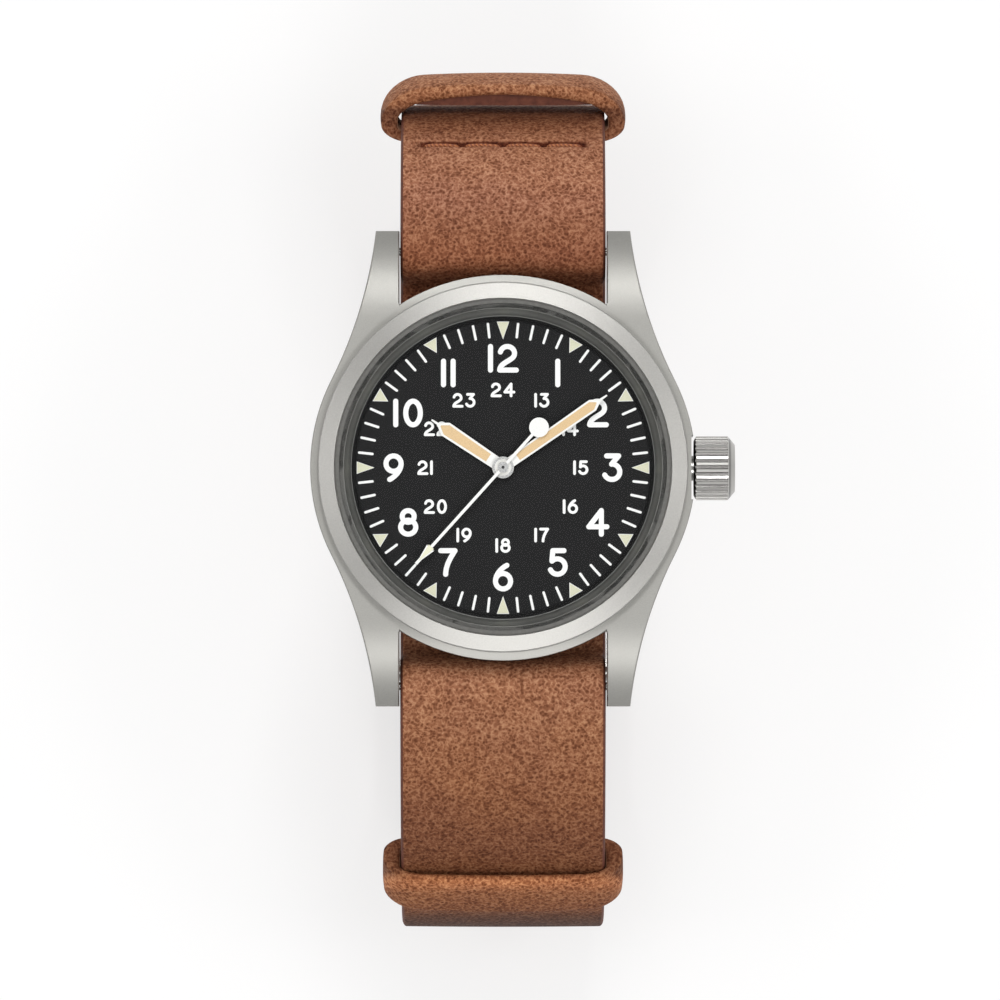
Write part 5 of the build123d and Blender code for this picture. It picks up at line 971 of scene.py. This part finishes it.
def strap_cutters():
    """Holes of the tail, and the slot where the tongue passes the strap's start and the tail."""
    tail_low = LOOP_Z - LAYER_STEP - STRAP_T
    tail_high = LOOP_Z - LAYER_STEP + STRAP_T / 2 + CUT_MARGIN

    def slot(name, start, end, bottom, top):
        half = TONGUE_SLOT_W / 2
        outline = [(-half, start), (half, start), (half, end), (-half, end)]
        return prism(name, outline, bottom, top, EDGE)

    cutters = [
        slot("slot", HEEL_Y - TONGUE_SLOT_L, HEEL_Y + EYE_R, tail_low, tail_high),
        slot("eye_slot", HEEL_Y - EYE_R, HEEL_Y + EYE_R + CUT_MARGIN,
             tail_high + CUT_SPLIT, LOOP_Z + 2 * EYE_R),
    ]
    for hole in range(TAIL_HOLES):
        y = HEEL_Y + (hole + 1) * TAIL_HOLE_PITCH
        if y < REACH_12 - LOW_ARC_12:
            cutters.append(pin_mesh(f"hole_{hole}", TAIL_HOLE_R, y, (tail_low, tail_high)))
    return join("strap_cutters", cutters)


def cut(piece, cutter):
    """Takes the cutter out of the piece; the new walls get the cutter's material."""
    modifier = piece.modifiers.new("cut", "BOOLEAN")
    modifier.operation = "DIFFERENCE"
    modifier.solver = "EXACT"
    modifier.object = cutter
    select(piece)
    bpy.ops.object.modifier_apply(modifier=modifier.name)
    mesh = cutter.data
    bpy.data.objects.remove(cutter)
    bpy.data.meshes.remove(mesh)


def under_strap():
    inner_12 = ARC_12 - UNDER_STEP
    inner_6 = ARC_6 - UNDER_STEP
    meet_12 = under_meet(inner_12, UNDER_BEND_12, WIDEST_12_Z)
    meet_6 = under_meet(inner_6, UNDER_BEND_6, WIDEST_6_Z)
    bend_12_y = CENTRE_12[0] + (inner_12 - UNDER_BEND_12) * cos(radians(meet_12))
    bend_6_y = CENTRE_6[0] - (inner_6 - UNDER_BEND_6) * cos(radians(meet_6))
    moves = (
        (meet_12 - UNDER_END_12, inner_12),
        (90 - meet_12, UNDER_BEND_12),
        (0, bend_12_y - bend_6_y),
        (90 - meet_6, UNDER_BEND_6),
        (meet_6 - UNDER_END_6, inner_6),
    )
    stations = walk(on_arc(CENTRE_12, inner_12, UNDER_END_12), 90 + UNDER_END_12, moves)
    section = leather_section(STRAP_W, UNDER_STRAP_T, UNDER_EDGE_R, UNDER_COLUMNS)
    return strip("strap_under", stations, section, LEATHERS)


def under_meet(inner, bend, widest_z):
    """Angle at which the arc under the main strap goes over into the bend below it."""
    return degrees(asin((UNDER_STRAP_Z - bend - widest_z) / (inner - bend)))


def fold():
    """Thinned end of the strap, folded round the buckle's bar and back under itself."""
    slot = TONGUE_SLOT_W / 2
    wide = STRAP_W / 2 - slot
    turn_r = HEEL_R + FOLD_GAP + FOLD_T / 2
    lower = LOOP_Z - STRAP_T / 2 - FOLD_T / 2
    leathers = [GRAIN, EDGE, GRAIN]
    tab = walk((HEEL_Y + FOLD_L, lower), 180, [(0, FOLD_L - FOLD_LEAD)])
    tab_section = leather_section(STRAP_W, FOLD_T, FOLD_EDGE_R, FOLD_COLUMNS)
    eye_moves = [(0, FOLD_LEAD), (-180, turn_r), (0, FOLD_LEAD)]
    eye = walk((HEEL_Y + FOLD_LEAD, LOOP_Z - turn_r), 180, eye_moves)
    eye_section = leather_section(wide - SPLIT_GAP, FOLD_T, FOLD_EDGE_R, EYE_COLUMNS)
    pieces = [strip("fold_tab", tab, tab_section, leathers)]
    for side in (1, -1):
        shift = side * (slot + wide / 2)
        pieces.append(strip(f"fold_eye_{side}", eye, eye_section, leathers, shift=shift))
    return join("strap_fold", pieces)


# Keepers
def loop_points(half, low_r, high_r, corners):
    """Straight runs and oval corners of a loop across the strap: (across, out, share of bow)."""
    top, foot = corners
    turns = ((1, 1, top, 0), (-1, 1, top, 90), (-1, -1, foot, 180), (1, -1, foot, 270))
    rounds = []
    for side, up, (across, out), start in turns:
        x = side * (half - across)
        r = high_r - out if up > 0 else low_r + out
        steps = [radians(start + 90 * k / CORNER_PARTS) for k in range(CORNER_PARTS + 1)]
        rounds.append([(x + across * cos(a), r + out * sin(a)) for a in steps])
    points = []
    for corner, parts in enumerate(RUN_PARTS):
        points += rounds[corner] + between(rounds[corner][-1], rounds[(corner + 1) % 4][0], parts)
    return [(x, r, (x / half) ** 2 * (r - low_r) / (high_r - low_r)) for x, r in points]


def keeper(name, half, low_r, high_r, corners, bow, band, to_place):
    """Closed leather loop: a strip's section taken round between its two faces."""
    outer = loop_points(half, low_r, high_r, corners[0])
    inner = loop_points(half - KEEPER_SIDE_T, low_r + KEEPER_T, high_r - KEEPER_T, corners[1])
    section = leather_section(band, KEEPER_T, KEEPER_EDGE_R, KEEPER_COLUMNS)
    rings = []
    for faces in zip(outer, inner):
        ring = []
        for across, up, _ in section:
            near = 1 / 2 + across / band
            (out_x, out_r), (in_x, in_r) = (
                (x, r - fall * (far_drop + (near_drop - far_drop) * near))
                for (x, r, fall), (far_drop, near_drop) in zip(faces, bow)
            )
            share = 1 / 2 - up / KEEPER_T
            ring.append(to_place(
                in_x + (out_x - in_x) * share, in_r + (out_r - in_r) * share, across))
        rings.append(ring)
    return skinned_strip(name, rings, section, [GRAIN, GRAIN, LINING], looped=True)


def arc_keeper(name, half, centre, inner, outer, corners, bow, angle):
    """Keeper that follows the bend of the straps."""
    def to_place(x, r, across):
        y, z = on_arc(centre, r, angle + degrees(across / ((inner + outer) / 2)))
        return (x, y, z)

    return keeper(
        name, half, inner - KEEPER_T, outer + KEEPER_T, corners, bow, KEEPER_BAND, to_place)


def upper_keeper():
    inner = ARC_12 - STRAP_T / 2 - KEEPER_PLAY
    outer = ARC_12 + STRAP_T / 2 + UPPER_KEEPER_ROOM
    return arc_keeper(
        "keeper_upper", KEEPER_OUT_W / 2, CENTRE_12, inner, outer, OPEN_CORNERS, OPEN_BOW,
        UPPER_KEEPER_ANGLE)


def upper_keeper_joint():
    """Overlapped end of the open keeper's leather, glued inside its outer wall."""
    radius = ARC_12 + STRAP_T / 2 + UPPER_KEEPER_ROOM - JOINT_T / 2 - CROWNING
    spread = degrees((KEEPER_BAND / 2 - JOINT_INSET) / radius)
    start = UPPER_KEEPER_ANGLE - spread
    stations = walk(on_arc(CENTRE_12, radius, start), 90 + start, [(2 * spread, radius)])
    return strip(
        "keeper_upper_joint", stations,
        leather_section(2 * JOINT_HALF, JOINT_T, JOINT_EDGE_R, UNDER_COLUMNS),
        [LINING, EDGE, LINING], shift=JOINT_SHIFT)


def lower_keeper():
    inner = ARC_6 - UNDER_STEP - UNDER_STRAP_T / 2 - KEEPER_PLAY
    outer = ARC_6 + STRAP_T / 2 + KEEPER_PLAY + LOWER_KEEPER_RISE
    return arc_keeper(
        "keeper_lower", LOWER_KEEPER_HALF, CENTRE_6, inner, outer, TIGHT_CORNERS, TIGHT_BOW,
        180 - LOWER_KEEPER_ANGLE)


def buckle_keeper():
    top = LOOP_Z + STRAP_T / 2 + KEEPER_PLAY + KEEPER_T
    return keeper(
        "keeper_buckle", KEEPER_OUT_W / 2, CROWNING, top, TIGHT_CORNERS, NO_BOW, BUCKLE_KEEPER_W,
        lambda x, r, across: (x, across, r))


# Dial print
def arc(x, y, rx, ry, start, end, parts=22):
    steps = [radians(start + (end - start) * k / parts) for k in range(parts + 1)]
    return [(x + rx * cos(a), y + ry * sin(a)) for a in steps]


def curve(a, b, c, d, parts=12):
    """Cubic curve through its two end points."""
    points = []
    for k in range(parts + 1):
        t = k / parts
        weights = ((1 - t) ** 3, 3 * t * (1 - t) ** 2, 3 * t * t * (1 - t), t ** 3)
        places = tuple(zip(weights, (a, b, c, d)))
        points.append(tuple(sum(w * p[axis] for w, p in places) for axis in (0, 1)))
    return points


def digit_strokes():
    """Centrelines of the strokes of each digit, one unit high over the ink."""
    tall = DIGIT_HALF
    six = [
        curve((0.13, tall), (-0.12, 0.27), (-0.26, 0.05), (-0.26, -0.14))
        + arc(0, -0.14, 0.26, 0.265, 180, 540)[1:]
    ]
    return {
        "0": [arc(0, 0, 0.25, tall, 90, 450, 36)],
        "1": [[(0, tall), (0, -tall)]],
        "2": [
            arc(-0.015, 0.17, 0.245, 0.235, 168, -25)
            + curve((0.207, 0.071), (0.10, -0.10), (-0.27, -0.16), (-0.28, -tall))[1:],
            [(-0.28, -tall), (0.29, -tall)],
        ],
        "3": [
            [(-0.20, tall), (0.21, tall)], [(0.21, tall), (-0.03, 0.12)],
            arc(-0.02, -0.14, 0.27, 0.265, 92, -155),
        ],
        "4": [
            [(0.12, tall), (-0.31, -0.15)], [(-0.31, -0.15), (0.31, -0.15)],
            [(0.12, tall), (0.12, -tall)],
        ],
        "5": [
            [(0.21, tall), (-0.17, tall)], [(-0.17, tall), (-0.20, 0.05)],
            arc(-0.01, -0.14, 0.265, 0.265, 135, -155),
        ],
        "6": six,
        "7": [
            [(-0.26, tall), (0.23, tall)],
            curve((0.23, tall), (0.05, 0.12), (-0.08, -0.10), (-0.09, -tall)),
        ],
        "8": [arc(0, 0.205, 0.205, 0.20, 270, -90, 30), arc(0, -0.165, 0.26, 0.24, 90, 450, 30)],
        "9": [[(-x, -y) for x, y in six[0]]],
    }


def ribbon(points, width, bottom, top):
    """Round-ended stroke as a thin plate that climbs a little, so that it can cross itself."""
    half = width / 2
    last = len(points) - 1
    places = [Vector(point) for point in points]
    ahead = [
        (places[min(k + 1, last)] - places[max(k - 1, 0)]).normalized() for k in range(last + 1)]
    turns = [radians(90 * k / STROKE_END_PARTS) for k in range(STROKE_END_PARTS)]
    caps = [(half * cos(turn), half * max(sin(turn), STROKE_TIP)) for turn in turns]
    sections = [(places[0] - ahead[0] * back, ahead[0], size) for back, size in caps]
    sections += [(middle, way, half) for middle, way in zip(places, ahead)]
    sections += [(places[-1] + ahead[-1] * out, ahead[-1], size) for out, size in reversed(caps)]
    rings = []
    for k, (middle, way, size) in enumerate(sections):
        side = Vector((-way.y, way.x)) * size
        crest = top + STROKE_RISE * k / len(sections)
        a, b = middle + side, middle - side
        rings.append([(a.x, a.y, bottom), (a.x, a.y, crest), (b.x, b.y, crest), (b.x, b.y, bottom)])
    return all_points(rings), skin(rings)[0]


def number_plates(number, centre, height, stroke, strokes):
    """Plates of the strokes of one number."""
    text = str(number)
    widths = [DIGIT_SHARES.get(digit, DIGIT_SHARE) * height for digit in text]
    x = centre[0] - (sum(widths) + DIGIT_GAP * height * (len(text) - 1)) / 2
    plates = []
    for digit, width in zip(text, widths):
        middle = x + width / 2
        for k, line in enumerate(strokes[digit]):
            points = [(middle + px * height, centre[1] + py * height) for px, py in line]
            top = DIAL_Z + PRINT_T + STROKE_RISE * k
            plates.append(ribbon(points, stroke, DIAL_Z + CLOSE, top))
        x += width + DIGIT_GAP * height
    return plates


def at_turn(radius, turns):
    """Point at some share of a turn past twelve, clockwise."""
    angle = pi / 2 - 2 * pi * turns
    return (radius * cos(angle), radius * sin(angle))


def print_piece(name, plates):
    """One object of many plates."""
    points = []
    faces = []
    for plate_points, plate_faces in plates:
        faces += [tuple(len(points) + k for k in face) for face in plate_faces]
        points += plate_points
    return add_mesh(name, points, faces, [MATERIALS["print_white"]], smooth=False)


def dial_print():
    strokes = digit_strokes()
    numerals = []
    inner = []
    ticks = []
    for hour in range(1, 13):
        outer_at, inner_at = (at_turn(radius, hour / 12) for radius in (NUMERAL_R, INNER_R))
        numerals += number_plates(hour, outer_at, NUMERAL_H, NUMERAL_STROKE, strokes)
        inner += number_plates(hour + 12, inner_at, INNER_H, INNER_STROKE, strokes)
    for minute in range(60):
        if minute % 5:
            radii = (TICK_IN_R + TICK_W / 2, TICK_OUT_R - TICK_W / 2)
            ends = [at_turn(radius, minute / 60) for radius in radii]
            ticks.append(ribbon(ends, TICK_W, DIAL_Z + CLOSE, DIAL_Z + PRINT_T))
    return [
        print_piece("dial_numerals", numerals), print_piece("dial_inner_numerals", inner),
        print_piece("minute_marks", ticks)]


def hour_marks():
    """Luminous triangles at the hours, pointing inward, with a paler rim."""
    marks = []
    for hour in range(12):
        quarter = hour % 3 == 0
        inner_r = QUARTER_MARK_IN_R if quarter else HOUR_MARK_IN_R
        half = (QUARTER_MARK_W if quarter else HOUR_MARK_W) / 2
        outer = [(HOUR_MARK_OUT_R, half), (inner_r, 0), (HOUR_MARK_OUT_R, -half)]
        middle = (HOUR_MARK_OUT_R * 2 + inner_r) / 3
        share = 1 - 3 * HOUR_MARK_RIM / (HOUR_MARK_OUT_R - inner_r)
        inside = [(middle + (x - middle) * share, y * share) for x, y in outer]
        turn = 90 - 30 * hour
        marks.append(prism(
            f"hour_mark_{hour}", turned_points(outer, turn), DIAL_Z + CLOSE, DIAL_Z + HOUR_MARK_T,
            MATERIALS["lume_green"], MATERIALS["print_white"], turned_points(inside, turn)))
    return join("hour_marks", marks)


# Hands
def field(name, node, angle, shares, material, body):
    """Luminous field let into a hand: (distance from the centre, half width) along it."""
    top = high(node).z
    outline = [(r, half) for r, half in shares] + [(r, -half) for r, half in reversed(shares)]
    outline = turned_points(outline, angle)
    piece = prism(name, outline, top + CLOSE, top + LUME_T, MATERIALS[material])
    finish_piece(piece, body)


def hub():
    """Pressed rim of the minute hand, and the cap of the seconds hand with its dark middle."""
    grey = MATERIALS["hub_grey"]
    rim_z = high("minute_hand").z
    rim = ring_plate(
        "minute_hub_rim", HUB_LINE_R, HUB_RIM_R, rim_z + CLOSE, rim_z + HUB_T, grey)
    finish_piece(rim, "minutes")
    cap_z = high("seconds_hand").z
    dot_z = cap_z + HUB_T
    cap = prism("seconds_hub_cap", disc(HUB_DISC_R, 48), cap_z + CLOSE, dot_z, grey)
    dot = prism(
        "seconds_hub_dot", disc(HUB_DOT_R, 20), dot_z + CLOSE, dot_z + PRINT_T,
        MATERIALS["dark_dot"])
    for piece in (cap, dot):
        finish_piece(piece, "seconds")


def ring_plate(name, inner, outer, bottom, top, material):
    corners = ((inner, bottom), (inner, top), (outer, top), (outer, bottom))
    rings = [[(r * x, r * y, z) for r, z in corners] for x, y in disc(1, 64)]
    faces = skin(rings, looped=True)[0]
    return add_mesh(name, all_points(rings), faces, [material], smooth=False)


def finish_piece(piece, body):
    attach(piece, body)


# Stage
def floor_material():
    """White floor: it shows white to the camera and keeps the shadow."""
    material, tree, body = new_material("studio_floor")
    speck = noise(tree, place(tree), 0.02, 2)
    feed(tree, body, {
        "Base Color": tinted(tree, speck, (0.93, 0.93, 0.93), (0.95, 0.95, 0.95)),
        "Roughness": 0.8,
        "Specular IOR Level": 0.1,
    })
    glow = add_node(tree, "Emission", {"Color": (1, 1, 1), "Strength": 1.0})
    rays = add_node(tree, "LightPath")
    kinds = ("Is Camera Ray", "Is Glossy Ray", "Is Transmission Ray")
    seen = math_all(tree, "ADD", [rays.outputs[kind] for kind in kinds])
    share = math(tree, "MULTIPLY", math(tree, "MINIMUM", seen, 1.0), FLOOR_GLOW)
    blend_shaders(tree, share, body, glow)
    return material


def floor():
    half = FLOOR_HALF
    points = [(-half, -half, 0), (half, -half, 0), (half, half, 0), (-half, half, 0)]
    piece = add_mesh("studio_floor", points, [(0, 1, 2, 3)], [floor_material()], smooth=False)
    piece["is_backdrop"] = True


def area_light(name, at, size, power):
    """Soft light that looks at the dial."""
    data = bpy.data.lights.new(name, "AREA")
    data.shape = "RECTANGLE"
    data.size, data.size_y = (side * MM for side in size)
    data.energy = power
    lamp = bpy.data.objects.new(name, data)
    lamp.location = Vector(at) * MM
    toward = Vector((0, 0, DIAL_Z)) * MM - lamp.location
    lamp.rotation_mode = "QUATERNION"
    lamp.rotation_quaternion = toward.to_track_quat("-Z", "Y")
    bpy.context.scene.collection.objects.link(lamp)


def world():
    scene_world = bpy.data.worlds.new("studio")
    bpy.context.scene.world = scene_world
    scene_world.use_nodes = True
    tree = scene_world.node_tree
    back = find_node(tree, "BACKGROUND")
    feed(tree, back, {"Color": (SKY, SKY, SKY), "Strength": 1.0})


def camera():
    data = bpy.data.cameras.new("camera")
    data.lens = CAMERA_LENS
    data.sensor_width = CAMERA_SENSOR
    data.clip_start, data.clip_end = (reach * MM for reach in CAMERA_REACH)
    eye = bpy.data.objects.new("camera", data)
    tilt = radians(CAMERA_TILT)
    eye.location = Vector((
        CAMERA_X, CAMERA_Y - CAMERA_ABOVE * sin(tilt), DIAL_Z + CAMERA_ABOVE * cos(tilt))) * MM
    eye.rotation_euler = (tilt, 0, 0)
    bpy.context.scene.collection.objects.link(eye)
    bpy.context.scene.camera = eye


def main():
    dress_nodes()
    strap = main_strap()
    folded = fold()
    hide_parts("main_strap")
    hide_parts("main_strap")
    under = under_strap()
    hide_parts("under_strap")
    stitches = seam_threads()
    keepers = {
        "upper_keeper": join("keeper_upper", [upper_keeper(), upper_keeper_joint()]),
        "lower_keeper": lower_keeper(), "buckle_keeper": buckle_keeper(),
    }
    for node, piece in keepers.items():
        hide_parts(node)
    for piece in (strap, folded, under, stitches, *keepers.values()):
        finish_piece(piece, "watch")
    for piece in (*dial_print(), hour_marks()):
        finish_piece(piece, "watch")
    field("hour_lume", "hour_hand", HOUR_ANGLE, HOUR_FIELD, "lume_tan", "hours")
    field("minute_lume", "minute_hand", MINUTE_ANGLE, MINUTE_FIELD, "lume_tan", "minutes")
    field("seconds_lume", "seconds_hand", SECONDS_ANGLE, SECONDS_FIELD, "lume_cream", "seconds")
    hub()
    floor()
    world()
    for lamp in LAMPS:
        area_light(*lamp)
    camera()
    bpy.context.scene.view_settings.view_transform = "Standard"


main()
boxes = {"cad": CAD_BOX, "visual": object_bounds()}
{name: [list(corner) for corner in box] for name, box in boxes.items()}
